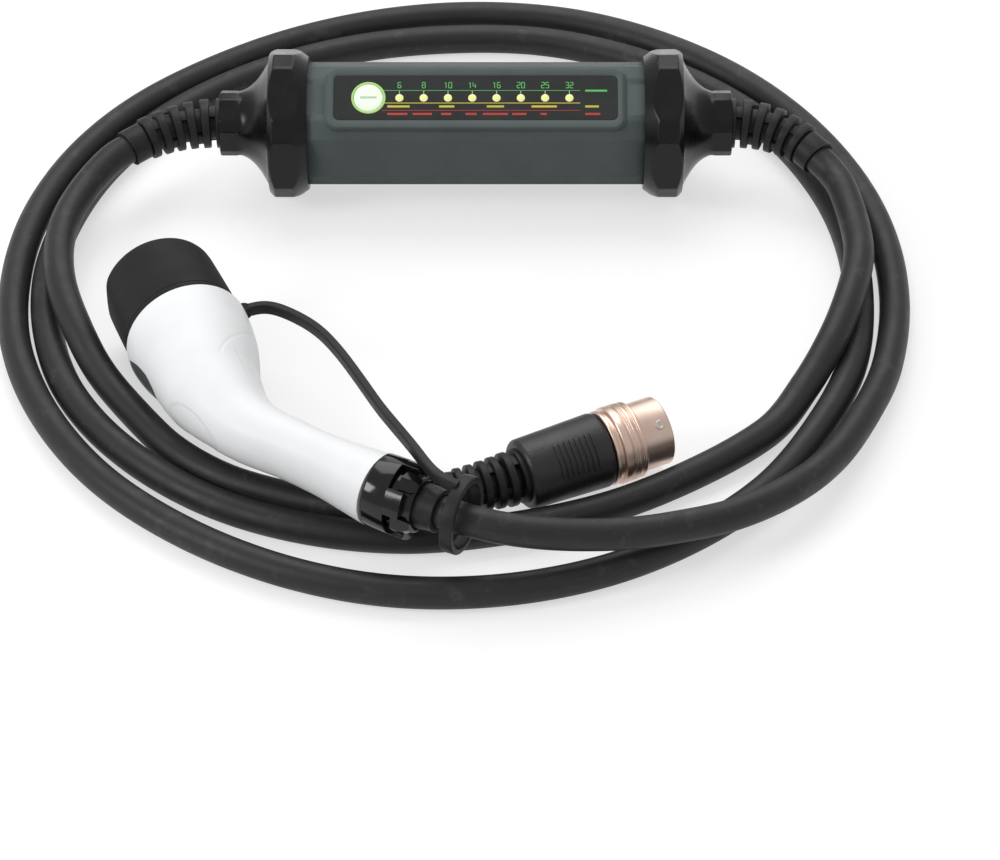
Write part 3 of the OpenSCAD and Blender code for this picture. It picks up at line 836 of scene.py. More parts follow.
class Surfaces:
    """The finishes of this charger."""

    BODY = Finish("body_satin", "body_grey", (82, 90, 90), (90, 98, 98), (0.55, 0.66), 1500, 0.05,
                  sheen=0.2, dust=(120, 128, 128))
    FILM = Finish("overlay_film", "overlay_dark", (42, 43, 43), (48, 49, 49), (0.32, 0.42), 2600, 0.02,
                  sheen=0.25, dust=(80, 82, 82))
    RING = Glow("ring_lit", "ring_green", (140, 190, 105), (152, 200, 116), (0.25, 0.35), 900, 0.02,
                glow=(190, 226, 120), lit=0.3)
    BUTTON = Finish("button_gloss", "button_white", (226, 236, 222), (232, 240, 228), (0.2, 0.3), 900, 0.02,
                    glow=(240, 250, 225), lit=0.22, coat=0.3)
    LENS = Glow("lens_lit", "lens_warm", (196, 200, 104), (210, 214, 124), (0.12, 0.22), 700, 0.02,
                glow=(246, 246, 196), lit=0.42)
    MOULDING = Finish("moulding_gloss", "moulding_black", (13, 13, 14), (18, 18, 19), (0.2, 0.32), 700, 0.04,
                      sheen=0.27, dust=(44, 44, 45))
    NUT = Finish("nut_gloss", "moulding_black", (12, 12, 14), (16, 16, 18), (0.09, 0.16), 500, 0.02,
                 sheen=0.42, dust=(40, 40, 42))
    RUBBER = Finish("rubber_matt", "rubber_black", (26, 26, 27), (33, 33, 34), (0.42, 0.56), 1300, 0.08,
                    sheen=0.3, dust=(84, 84, 84))
    CAP = Finish("cap_rubber", "rubber_black", (26, 26, 27), (32, 32, 33), (0.62, 0.72), 1700, 0.06,
                 sheen=0.25, dust=(78, 78, 78))
    SHELL = Finish("shell_satin", "shell_white", (238, 239, 240), (243, 244, 245), (0.36, 0.46), 1900, 0.03,
                   sheen=0.25)
    BADGE = Finish("badge_dark", "overlay_dark", (66, 70, 70), (84, 88, 88), (0.25, 0.35), 1200, 0.02)
    INSERT = Finish("insert_matt", "insert_black", (30, 30, 31), (38, 38, 39), (0.45, 0.6), 1200, 0.05)
    PLUG = Finish("plug_grained", "plug_black", (29, 29, 31), (37, 37, 39), (0.36, 0.48), 800, 0.32,
                  dust=(70, 71, 73))
    ROSE = TurnedMetal("rose_plate", "ring_rose", (238, 214, 200), (224, 196, 180), (0.32, 0.42), 900, 0.015)
    RIVET = TurnedMetal("rivet_plate", "ring_rose", (228, 216, 208), (208, 196, 188), (0.34, 0.44), 900,
                        0.015)
    GOLD = TurnedMetal("pin_gold", "contact_gold", (226, 196, 128), (206, 172, 104), (0.2, 0.32), 900, 0.02)
    SILVER = TurnedMetal("sleeve_silver", "contact_silver", (214, 210, 202), (190, 186, 178), (0.2, 0.34),
                         900, 0.02)
    STEEL = TurnedMetal("steel_drawn", "spring_steel", (196, 196, 196), (170, 170, 172), (0.25, 0.4), 900,
                        0.02)
    CORD = CordRubber("cord_rubber", "cord_black", (38, 38, 39), (46, 46, 47), (0.42, 0.54), 1500, 0.06,
                      sheen=0.32, dust=(92, 92, 92))
    BOARD = Finish("board_mask", "board_green", (40, 120, 76), (30, 96, 60), (0.3, 0.45), 800, 0.04)
    PART = Finish("part_black", "component_black", (40, 40, 42), (50, 50, 52), (0.4, 0.55), 900, 0.05)
    COIL = Finish("coil_tape", "coil_yellow", (206, 178, 66), (186, 156, 50), (0.4, 0.55), 500, 0.1)
    INK_GREEN = Ink("ink_green", "ring_green", (96, 196, 104), (84, 180, 92))
    INK_PALE = Ink("ink_pale", "ring_green", (196, 222, 196), (186, 214, 188))
    INK_YELLOW = Ink("ink_yellow", "coil_yellow", (214, 200, 70), (200, 184, 56))
    INK_RED = Ink("ink_red", "ring_rose", (196, 62, 52), (178, 50, 42))


# Frames of the sub-assemblies and sizes that they share, in millimetres

AXIS_H = 43.3
BOX_FLAT = 33.7
CORD_R = 8.5
BUSH_END = 37.0
SHELL_END = (-160.5, -50.7)
BOX = Place(np.array([0, 0, AXIS_H]), np.eye(3))
PANEL = BOX.spun(x=30).moved(0, 0, BOX_FLAT)
CONNECTOR = Place(np.array([-155.1, -181.1, 34.8]), turned(y=2, z=111.8))
GLAND = CONNECTOR.moved(*SHELL_END).spun(z=219)
PLUG = Place(np.array([24.2, -278.9, 21.3]), turned(z=26.3))


@dataclass(frozen=True)
class BendRelief:
    """Slotted bend relief on a cord: rings joined by staggered bridges round a core, and a plain sleeve.

    Attributes:
        length: Length along the bend.
        turn: Turn of the bend in degrees.
        first_r: Radius of the ring next to the collar.
        last_r: Radius of the ring next to the sleeve.
        start_r: Radius of the collar at the housing.
        sleeve: Length of the plain sleeve.
        rings: Number of rings.
        collar_end: Where the first slot may start.
        bridge: Half angle of a bridge in degrees.
    """

    length: float
    turn: float
    first_r: float
    last_r: float
    start_r: float
    sleeve: float = 11.0
    rings: int = 5
    collar_end: float = 3.4
    bridge: float = 17.0

    def add_to(self, skin: Skin, place: Place) -> Skin:
        """Adds the relief to a collection, bent in its place.

        Args:
            skin: Collection that receives the surfaces.
            place: Frame at the start, x out of the housing and minus z to the inside of the bend.

        Returns:
            The collection.
        """
        def put(grid: Array, loop: bool = False) -> None:
            """Adds a straight surface, bent."""
            skin.add(bent(grid, self.length, self.turn), place, loop=loop)

        def ring(corners: list[Pair], cut: float) -> None:
            """Adds a ring of a rounded profile, bent."""
            put(lathe(rounded(corners, cut, 4, closed=True), 72), True)

        inner, r = CORD_R + 0.2, CORD_R + 2.1
        a, b = self.length - self.sleeve, self.length
        pitch = (a - self.collar_end) / self.rings
        rise = np.linspace(self.first_r, self.last_r, self.rings)
        middle = self.collar_end + (np.arange(self.rings) + 0.62) * pitch
        half = 0.34 * pitch
        core = np.linspace(-2, b - 1, 40)
        put(lathe(np.stack([core, 0 * core + CORD_R + 0.5], 1), 48))
        for at, top in zip(middle, rise):
            narrow = half * 0.86
            ring([(at - half, inner), (at + half, inner), (at + narrow, top), (at - narrow, top)], 0.7)
        gaps = zip(np.concatenate([[2.2], middle[:-1] + half]), middle - half, rise)
        for k, (start, end, top) in enumerate(gaps):
            for side in (0, 180):
                mid = side + 90 * (k % 2)
                span = (mid - self.bridge, mid + self.bridge)
                put(arc_block((start - 0.8, end + 0.8), (inner, top - 1.6), span))
        ring([(-0.6, inner), (2.4, inner), (2.4, self.start_r), (-0.6, self.start_r)], 0.6)
        ring([(a, inner), (b, inner), (b, r - 0.5), (b - 0.9, r), (a + 0.3, r)], 0.5)
        ring([(b - 3, inner), (b + 0.35, inner), (b + 0.35, r + 0.1), (b - 0.5, r + 0.1)], 0.3)
        return skin

    def exit(self, place: Place) -> tuple[Array, Array]:
        """Where a cord leaves the relief: the end of its bent axis.

        Args:
            place: Frame at the start.

        Returns:
            The point and the direction out of it.
        """
        axis = np.array([[self.length, 0, 0], [self.length + 1, 0, 0]], float)
        end, beyond = place.put(bent(axis, self.length, self.turn))
        return end, beyond - end


# Control box

# Turn and lean of the bend relief of each end, in degrees
RELIEF_BENDS = {Side.LEFT: (38.0, 18.0), Side.RIGHT: (52.0, 20.0)}
# Strokes of the plain figures, two wide and four high
DIGITS: dict[str, list[list[Pair]]] = {
    "0": [[(0.2, 0), (2, 0), (2, 4), (0, 4), (0, 0), (0.3, 0)]],
    "1": [[(0.4, 3.2), (1.2, 4), (1.2, 0)]],
    "2": [[(0, 4), (2, 4), (2, 2), (0, 2), (0, 0), (2, 0)]],
    "3": [[(0, 4), (2, 4), (2, 0), (0, 0)], [(0.5, 2), (2, 2)]],
    "4": [[(0, 4), (0, 1.3), (2.1, 1.3)], [(1.6, 2.8), (1.6, 0)]],
    "5": [[(2, 4), (0, 4), (0, 2.2), (2, 2.2), (2, 0), (0, 0)]],
    "6": [[(2, 4), (0, 4), (0, 0), (2, 0), (2, 2.1), (0, 2.1)]],
    "8": [[(0.2, 0), (2, 0), (2, 4), (0, 4), (0, 0), (0.3, 0)], [(0, 2.1), (2, 2.1)]],
}


@dataclass(frozen=True)
class Legend:
    """A printed guide line with short bars under it.

    Attributes:
        name: Name of the piece.
        ink: Its surface.
        line_y: Place of the line on the panel.
        line_width: Width of the line.
        bar_y: Place of the bars.
        bars: Start and end of each bar.
    """

    name: str
    ink: Finish
    line_y: float
    line_width: float
    bar_y: float
    bars: tuple[Pair, ...]


LEGENDS = (
    Legend("legend_yellow", Surfaces.INK_YELLOW, -3.2, 0.48, -5.3,
           ((-49.8, -37.2), (-20.6, -12.0), (6.3, 16.0), (31.5, 45.8), (61.8, 69.4))),
    Legend("legend_red", Surfaces.INK_RED, -7.7, 0.3, -9.9,
           ((-49.8, -38.4), (-35.5, -24.6), (-19.5, -13.7), (-5.7, 0.6), (4.0, 18.3), (20.6, 28.6),
            (36.6, 40.1), (61.8, 70.2))),
)


@dataclass
class ControlBox:
    """Grey hexagonal body with its display, two black end mouldings and their bend reliefs.

    Attributes:
        half_len: Half length between the end mouldings.
        tube_half: Half length of the tube.
        flat: Distance of its broad faces from the axis.
        corner: Distance of its narrow faces from the axis.
        wall: Its wall.
        window: Half length and half width of its window under the display.
        collar_flat: Distance of the broad faces of a collar from the axis.
        collar_corner: Distance of the narrow faces of a collar from the axis.
        collar_len: Length of a collar.
        mouth_r: Radius of the front cone at the mouth of a collar.
        mouth_rise: Rise of the front cone.
        back_rise: Rise of the rear cone.
        flare_len: Length of a flare.
        flare_power: How hollow a flare is.
        neck_len: Length of a neck.
        neck_flat: Distance of the broad faces of a neck from the axis.
        relief_len: Length of a bend relief.
        relief_r: Radii of its first ring, its last ring and its collar.
        pad: Length and width of the display pad.
        overlay: Length and width of the overlay.
        overlay_top: Height of the overlay.
        recess: Height of the recess under it.
        button_x: Place of the button.
        button_r: Radius of the button.
        lens_x: Place of the first lens.
        lens_pitch: Distance between lenses.
        lens_r: Radius of a lens.
        scale: Numbers over the lenses.
        number_y: Place of their foot on the panel.
        number_size: Size of a unit of their strokes.
        scale_y: Place of the line under the numbers.
        guide: Start and end of the long lines.
    """

    half_len: float = 95.5
    tube_half: float = 109.5
    flat: float = BOX_FLAT
    corner: float = 35.7
    wall: float = 2.6
    window: Pair = (75.5, 9.5)
    collar_flat: float = 40.7
    collar_corner: float = 43.3
    collar_len: float = 22.2
    mouth_r: float = 37.9
    mouth_rise: float = 0.72
    back_rise: float = 1.25
    flare_len: float = 18.8
    flare_power: float = 2.1
    neck_len: float = 9.5
    neck_flat: float = 18.0
    relief_len: float = 56.0
    relief_r: Triple = (14.0, 12.2, 14.2)
    pad: Pair = (171.0, 37.0)
    overlay: Pair = (160.0, 27.0)
    overlay_top: float = 1.9
    recess: float = 1.1
    button_x: float = -60.5
    button_r: float = 8.2
    lens_x: float = -43.0
    lens_pitch: float = 13.7
    lens_r: float = 2.3
    scale: tuple[str, ...] = ("6", "8", "10", "14", "16", "20", "25", "32")
    number_y: float = 6.1
    number_size: float = 0.85
    scale_y: float = 4.5
    guide: Pair = (-52.7, 59.0)

    def build(self) -> None:
        """Makes every piece of the box."""
        self.body_tube()
        self.display_pad()
        self.button()
        self.lenses()
        self.print_marks()
        for side in Side:
            self.end_moulding(side)
            self.bend_relief(side)
        self.dress()

    def dress(self) -> None:
        """Gives the nodes that stay as the part has them their surfaces."""
        Surfaces.FILM.dress("display_overlay")
        Surfaces.BOARD.dress("display_board", "main_board")
        Surfaces.PART.dress("tact_switch", "power_relays", "supply_module", "cord_grips")
        Surfaces.COIL.dress("current_transformer")
        Surfaces.RUBBER.dress("cap_seal_left", "cap_seal_right")

    def body_tube(self) -> None:
        """Hexagonal tube: the prism radius at each angle, the same along x, with the window left out."""
        angle = full_turn(720)
        half, across = self.window
        x = np.array([-self.tube_half, -half, half, self.tube_half])[:, None]
        grid = around(x, hex_radius(angle, self.flat, self.corner, 220), angle)
        keep = np.ones((len(x) - 1, len(angle)), bool)
        keep[1] = np.abs(np.tan(np.clip(angle - np.radians(120), -1.2, 1.2))) * self.flat > across
        made = Skin().add(grid, BOX, end=End.OPEN, keep=keep).piece(
            "body_tube", Body.CHARGER, Surfaces.BODY, ("housing",), 60)
        wall = made.modifiers.new("wall", "SOLIDIFY")
        wall.thickness, wall.offset, wall.use_even_offset = self.wall * MM, -1.0, True

    def display_pad(self) -> None:
        """Raised pad: rounded rectangles that rise, turn in to the recess and close round the button hole."""
        length, width = self.pad
        inner_l, inner_w = self.overlay[0] + 0.4, self.overlay[1] + 0.4
        low, sunk, floor = -4.5, 0.05, self.recess
        over = [(length, width, 7, low), (length, width, 7, 0.0), (length - 0.6, width - 0.1, 6.8, 0.35),
                (length - 4.6, width - 0.5, 5.6, 1.72), (length - 5.2, width - 0.8, 5.3, 1.92),
                (length - 5.9, width - 1.3, 5.0, 2.0), (inner_l + 0.3, inner_w + 0.3, 3.4, 2.0),
                (inner_l, inner_w, 3.2, 1.85), (inner_l, inner_w, 3.2, floor)]
        under = [(length - 10, width - 10, 4, sunk), (length - 4, width - 3, 5.5, low)]
        above, below = ([(slab_loop(a, b, r), z) for a, b, r, z in steps] for steps in (over, under))
        edge = above[-1][0] - (self.button_x, 0)
        bearing = np.arctan2(edge[:, 1], edge[:, 0])
        way = np.stack([np.cos(bearing), np.sin(bearing)], 1)
        hole = (self.button_x, 0) + (self.button_r + 0.3) * way
        loops = [*above, (hole, floor), (hole, sunk), *below]
        rows = np.stack([np.c_[loop, np.full(len(loop), z)] for loop, z in loops])
        Skin().add(rows, PANEL, loop=True).piece(
            "display_pad", Body.CHARGER, Surfaces.BODY, ("display_frame",), 50)

    def button(self) -> None:
        """Domed round button with flange and stem, and its coloured ring, turned about the face normal."""
        r, top = self.button_r, self.overlay_top
        upright = PANEL.moved(self.button_x).spun(y=-90)
        rim = rounded([(-3.4, 0.05), (-3.4, 1.8), (-1.6, 1.8), (-1.6, r + 0.9), (-0.3, r + 0.9), (-0.3, r),
                       (top + 0.1, r), (top + 0.42, r - 0.5), (top + 0.5, r - 1.6)], 0.25, 4)
        rise = 0.12 * (1 - np.linspace(0.8, 0, 8)[1:] ** 2)
        dome = np.stack([top + 0.5 + rise, (r - 1.6) * np.linspace(1, 0.01, 8)[1:]], 1)
        Skin().add(lathe(np.vstack([rim, dome])), upright, end=End.POLE).piece(
            "button_cap", Body.BUTTON, Surfaces.BUTTON, ("select_button",), 50)
        Skin().ring([(top - 0.8, r + 0.3), (top - 0.8, r + 1.48), (top + 0.2, r + 1.48), (top + 0.3, r + 0.9),
                     (top + 0.2, r + 0.3)], upright, 0.25).piece(
            "button_rim", Body.CHARGER, Surfaces.RING, ("button_ring",), 50)
        mark = Skin()
        self.bar(mark, (self.button_x - 4.6, self.button_x + 4.6), 0, 1.3, 0.61, 0.06)
        mark.piece("button_mark", Body.BUTTON, Surfaces.INK_PALE)

    def lenses(self) -> None:
        """Eight domed status lenses, each a turned rod with a rounded head."""
        head = np.radians(np.linspace(0, 88, 8))
        dome = np.stack([self.overlay_top - 0.1 + 0.5 * np.sin(head), self.lens_r * np.cos(head)], 1)
        rod = np.vstack([[(-7.5, self.lens_r)], dome])
        skin = Skin()
        for x in self.lens_places():
            skin.add(lathe(rod, 40), PANEL.moved(x).spun(y=-90), end=End.POLE)
        skin.piece("status_lenses", Body.CHARGER, Surfaces.LENS, ("led_lenses",), 60)

    def lens_places(self) -> Array:
        """Places of the lenses along the panel."""
        return self.lens_x + self.lens_pitch * np.arange(len(self.scale))

    def stroke(self, skin: Skin, line: list[Pair], width: float, lift: float = 0.0,
               thick: float = 0.05) -> None:
        """Adds a printed stroke: a flat bar carried along a rounded line on the panel.

        Args:
            skin: Collection that receives it.
            line: Points on the panel.
            width: Width of the stroke.
            lift: Height above the overlay.
            thick: Thickness of the ink.
        """
        low = self.overlay_top + 0.01 + lift
        path = rounded(line, width * 0.9, 4) if len(line) > 2 else np.array(line, float)
        section = np.array([[-width / 2, 0], [width / 2, 0], [width / 2, thick], [-width / 2, thick]])
        skin.add(swept(np.c_[path, np.full(len(path), low)], section), PANEL)

    def bar(self, skin: Skin, ends: Pair, y: float, width: float, lift: float = 0.0,
            thick: float = 0.05) -> None:
        """Adds a level printed bar between two places on the panel."""
        self.stroke(skin, [(ends[0], y), (ends[1], y)], width, lift, thick)

    def print_marks(self) -> None:
        """Scale of plain numbers, guide lines and short legend bars on the overlay."""
        green, stems = Skin(), Skin()
        for x, word in zip(self.lens_places(), self.scale):
            for k, digit in enumerate(word):
                left = x + (k - len(word) / 2) * 2.5 + 0.4
                for line in DIGITS[digit]:
                    points = np.array(line) * self.number_size + (left, self.number_y)
                    self.stroke(green, points.tolist(), 0.46)
            self.stroke(stems, [(x, self.scale_y - 0.2), (x, 1.8)], 0.36)
        self.bar(green, self.guide, self.scale_y, 0.3)
        self.bar(green, (61.8, 74.2), 4.4, 1.2)
        green.piece("scale_numbers", Body.CHARGER, Surfaces.INK_GREEN)
        stems.piece("lens_stems", Body.CHARGER, Surfaces.INK_PALE)
        for legend in LEGENDS:
            skin = Skin()
            self.bar(skin, self.guide, legend.line_y, legend.line_width)
            for ends in legend.bars:
                self.bar(skin, ends, legend.bar_y, 1.25)
            skin.piece(legend.name, Body.CHARGER, legend.ink)

    def end_moulding(self, side: Side) -> None:
        """End moulding: on x the smaller of a hexagon and two cones, then a hollow flare and a small hexagon.

        Args:
            side: End of the box.
        """
        angle = full_turn(360)
        hexagon = hex_radius(angle, self.collar_flat, self.collar_corner, 260)
        socket = hex_radius(angle, self.flat + 0.15, self.corner + 0.15, 220)
        neck = hex_radius(angle, self.neck_flat, self.neck_flat + 0.9, 150)
        start, back, end = self.half_len, self.half_len + self.collar_len, self.neck_end()
        mouth, rear, lip = 10.0, self.collar_len - 5, 37.6
        run = np.concatenate([np.linspace(0, mouth, 34), np.linspace(mouth, rear, 5)[1:],
                              np.linspace(rear, self.collar_len, 16)[1:]])
        front_cone = self.mouth_r + self.mouth_rise * run
        rear_cone = self.collar_flat - 1.2 + self.back_rise * (self.collar_len - run)
        rows = [(start + 6, socket), (start, socket), (start, 0.5 * socket + 0.5 * lip)]
        cones = zip(run, front_cone, rear_cone)
        rows += [(start + x, soft_least(hexagon, a, b, sharp=200)) for x, a, b in cones]
        rows.append((back + 0.05, self.collar_flat - 3.6))
        t = np.linspace(0, 1, 26)
        flare = self.neck_flat + 0.4 + (self.collar_flat - 5.0 - self.neck_flat) * (1 - t) ** self.flare_power
        share = np.clip((t - 0.72) / 0.28, 0, 1) ** 2
        places = back + 0.4 + (self.flare_len - 0.4) * t
        rows += [(x, (1 - k) * r + k * neck) for x, r, k in zip(places, flare, share)]
        rims = ((back + self.flare_len + 0.5, 0), (end - 1.0, 0), (end - 0.3, 0.25), (end, 0.9), (end, 6))
        rows += [(x, neck - cut) for x, cut in rims]
        grid = np.stack([around(x, r + 0 * angle, angle) for x, r in rows])
        Skin().add(grid, side.at(BOX), end=End.POLE).piece(
            f"end_moulding_{side.value}", Body.CHARGER, Surfaces.MOULDING, (f"end_cap_{side.value}",), 38)

    def neck_end(self) -> float:
        """Place on x at which the necks end."""
        return self.half_len + self.collar_len + self.flare_len + self.neck_len

    def relief(self, side: Side) -> tuple[BendRelief, Place]:
        """Bend relief of one end, which leans below the horizontal as it turns to the front.

        Args:
            side: End of the box.

        Returns:
            The relief and its frame.
        """
        turn, lean = RELIEF_BENDS[side]
        place = BOX.moved(self.neck_end()).spun(x=lean - 90)
        return BendRelief(self.relief_len, turn, *self.relief_r), side.at(place)

    def bend_relief(self, side: Side) -> None:
        """Makes the bend relief of one end.

        Args:
            side: End of the box.
        """
        relief, place = self.relief(side)
        made = relief.add_to(Skin(), place).piece(
            f"box_relief_{side.value}", Body.CHARGER, Surfaces.RUBBER, (f"strain_relief_{side.value}",), 0)
        bevelled(made, 0.35)

    def cord_exit(self, side: Side) -> tuple[Array, Array]:
        """Point and direction in which a cord leaves one end."""
        relief, place = self.relief(side)
        return relief.exit(place)


# Vehicle connector

# Axis x and y, half width and half height of the shell from the shoulder to the gland
SHELL_STATIONS = np.array([
    (0, 0, 34, 34), (-7.7, 0.1, 33.9, 33.9), (-15.5, 0, 33.1, 33.1), (-24.2, 0.1, 31.7, 31.7),
    (-32.9, 0.8, 30, 30), (-41.6, 1.7, 28.3, 28.3), (-50.3, 2.1, 26.6, 26.1), (-59, 1.5, 24.9, 23.9),
    (-67.7, 0.4, 22.9, 21.7), (-76.4, -1.3, 20.8, 19.6), (-85.1, -3.9, 19, 18.1), (-93.8, -7.7, 17.6, 17.3),
    (-102.5, -13, 16.4, 16.9), (-112.2, -19.8, 15.6, 16.9), (-123.8, -27, 15.3, 16.9),
    (-136.3, -35.1, 16, 17.5), (-148.9, -43, 17.7, 18.5), (*SHELL_END, 19.6, 19.6)], float)
# Grooves of the finger grip: share of the way along the shell and degrees round it
GRIP_FRONT = [(0.294, 101), (0.261, 109), (0.224, 121), (0.183, 139), (0.158, 152), (0.151, 165), (0.16, 184)]
GRIP_EDGE = [(0.262, 124), (0.323, 127), (0.385, 128), (0.437, 132), (0.496, 134), (0.563, 124)]
# Outside and lining of the dust cap: place on x and radius
CAP_OUTER = np.array([
    (1.5, 32.0), (1.7, 32.5), (2.2, 32.75), (4.7, 32.7), (5.0, 32.4), (5.2, 32.1), (5.7, 32.1), (6.0, 32.4),
    (6.8, 32.5), (20, 32.45), (36, 32.2), (45, 32.0), (47.6, 31.75), (49.4, 31.15), (50.8, 30.1),
    (51.6, 28.8), (52.0, 27.2), (52.2, 20), (52.3, 10), (52.3, 0.3)])
CAP_LINING = np.array([(46.3, 0.3), (46.3, 24.0), (46.3, 27.0), (20, 27.7), (1.5, 27.7)])
# Foot of the lug on the cap, and the reach and size of its sections
CAP_LUG = np.array([[2.2, -31, -0.4], [2.2, -31, 6.4], [8.8, -31, 6.4], [8.8, -31, -0.4]])
LUG_STEPS = np.array([(0, 1.0), (-2.6, 1.0), (-4.6, 0.97), (-6.0, 0.88), (-6.9, 0.72)])
# Sections of a claw: place on x, half angle in degrees, radius at the sides and on the ridge
CLAW_STEPS = np.array([[16.9, 21.0, 17.9, 19.7], [23.8, 19.0, 17.5, 19.2], [27.0, 13.0, 15.9, 16.9]])
# Points that the tether passes on its way from the lug to its ring
TETHER_ROUTE = np.array([
    (-115, -159.3, 38.2), (-105.4, -165, 40), (-94.1, -175.1, 42), (-82.8, -189.1, 44.5),
    (-71.4, -210.3, 47.5), (-59.9, -236.6, 51), (-48.7, -263.9, 55), (-37.8, -287.5, 59), (-29.7, -305, 62),
    (-22.9, -319.8, 63.5), (-17, -328.2, 63.2), (-7.9, -332.7, 61.5)], float)
TETHER_RING = Place(np.array([-6.0, -332.0, 42.0]), turned(z=-24))


@dataclass
class VehicleConnector:
    """White bent shell with a capped nose in front and a clawed gland nut behind.

    Attributes:
        shell_len: Length of the axis of the shell, for distances along it.
        shell_r: Mean radius of the shell, for distances round it.
        groove: Depth and half width of the grip grooves.
        hollow: Place of the hollow on the heel: share along the shell and degrees round it.
        hollow_half: Its half size in the same measures.
        hollow_depth: Its depth.
        badge: Middle of the badge: share along the shell and radians round it.
        badge_half: Its half size in the same measures.
        cap_flat: Distance of the flat of the cap from the axis at its front edge.
        cap_front: Place on x of that edge.
        cap_lean: Lean of the flat in degrees.
        nut_r: Radius of the gland nut.
        claws: Number of its claws.
        tether: Half thickness and half height of the tether.
    """

    shell_len: float = 175.0
    shell_r: float = 24.0
    groove: Pair = (0.22, 0.5)
    hollow: Pair = (0.392, -14.0)
    hollow_half: Pair = (0.1, 39.0)
    hollow_depth: float = 0.45
    badge: Pair = (0.115, -0.24)
    badge_half: Pair = (0.1, 0.3)
    cap_flat: float = 29.95
    cap_front: float = 48.0
    cap_lean: float = 5.0
    nut_r: float = 20.0
    claws: int = 4
    tether: Pair = (2.3, 3.2)

    def build(self) -> list[Piece]:
        """Makes the pieces of the connector.

        Returns:
            The pieces, with the nodes of the part that stay in view.
        """
        made = [self.shell(), self.badge_plate(), self.dust_cap(), self.gland_nut(), self.gland_bush(),
                self.cap_tether(), self.tether_ring()]
        return made + self.dress()

    def dress(self) -> list[Piece]:
        """Gives the nodes that stay as the part has them their surfaces."""
        return [*Surfaces.INSERT.dress("connector_nose"),
                *Surfaces.SILVER.dress("power_contacts", "signal_contacts"),
                *Surfaces.RUBBER.dress("nose_seal")]

    def on_shell(self, run: Array, angle: Array, lift: Array | float = 0.0) -> Array:
        """Points on the shell loft: the axis of the bend plus an oval across it.

        Args:
            run: Places along the axis from 0 at the shoulder to 1 at the gland.
            angle: Angles round the axis, 0 on the left flank and 90 degrees on top, in radians.
            lift: Distance outside the oval.

        Returns:
            Points in the connector frame, in the common shape of the arguments.
        """
        line = curve_through(SHELL_STATIONS, 0.5)
        way = np.gradient(line[:, :2], axis=0)
        way /= np.linalg.norm(way, axis=1, keepdims=True)
        way[0] = (-1, 0)
        s = run_along(line[:, :2])
        x, y, wide, high, way_x, way_y = (np.interp(run, s / s[-1], v) for v in (*line.T, *way.T))
        off = (wide + lift) * np.cos(angle)
        return np.stack([x + way_y * off, y - way_x * off, (high + lift) * np.sin(angle)], -1)

    def moulded_marks(self, run: Array, angle: Array) -> Array:
        """Depth of the marks: bell shaped grooves along the finger grip and a level oval hollow on the heel.

        Args:
            run: Places along the axis from 0 to 1.
            angle: Angles round the axis in radians.

        Returns:
            The depth at each place and angle.
        """
        spot = np.stack(np.broadcast_arrays(run * self.shell_len, angle * self.shell_r), -1)
        scale = (self.shell_len, math.radians(self.shell_r))
        lines = [np.array(line) * scale for line in (GRIP_FRONT, GRIP_EDGE)]
        near = np.minimum.reduce([line_distance(spot, line) for line in lines])
        along, across = self.hollow_half
        turn = (angle - math.radians(self.hollow[1]) + math.pi) % (2 * math.pi) - math.pi
        oval = np.hypot((run - self.hollow[0]) / along, turn / math.radians(across))
        grooves = self.groove[0] * np.exp(-(near / self.groove[1]) ** 2)
        return grooves + self.hollow_depth * np.clip((1 - oval) / 0.1, 0, 1)

    def shell(self) -> Piece:
        """White shell with a rounded shoulder edge and its moulded marks.

        Returns:
            The piece.
        """
        run = np.concatenate([np.linspace(0.002, 0.03, 6), np.linspace(0.03, 1, 255)[1:]])[:, None]
        angle = full_turn(300)
        body = self.on_shell(run, angle, -self.moulded_marks(run, angle))
        rim = [body[:1] * (1, size, size) + (0.35, 0, 0) for size in (0.9, 0.985)]
        return Skin().add(np.concatenate([*rim, body]), CONNECTOR).piece(
            "connector_shell", Body.CHARGER, Surfaces.SHELL,
            ("connector_shell_upper", "connector_shell_lower"), 50)

    def badge_plate(self) -> Piece:
        """Blank oval plate on the left flank: rings of an ellipse laid on the shell, raised inside its edge.

        Returns:
            The piece.
        """
        ring, turn = np.linspace(0.05, 1, 8)[:, None], full_turn(48)
        run = self.badge[0] + self.badge_half[0] * ring * np.cos(turn)
        angle = self.badge_half[1] * ring * np.sin(turn) + self.badge[1]
        raised = self.on_shell(run, angle, 0.3 * np.clip((1 - ring) * 8, 0, 1))
        under = self.on_shell(run[::-1], angle[::-1], -0.6)
        return Skin().add(np.concatenate([raised, under]), CONNECTOR, end=End.POLE).piece(
            "connector_badge", Body.CHARGER, Surfaces.BADGE, (), 50)

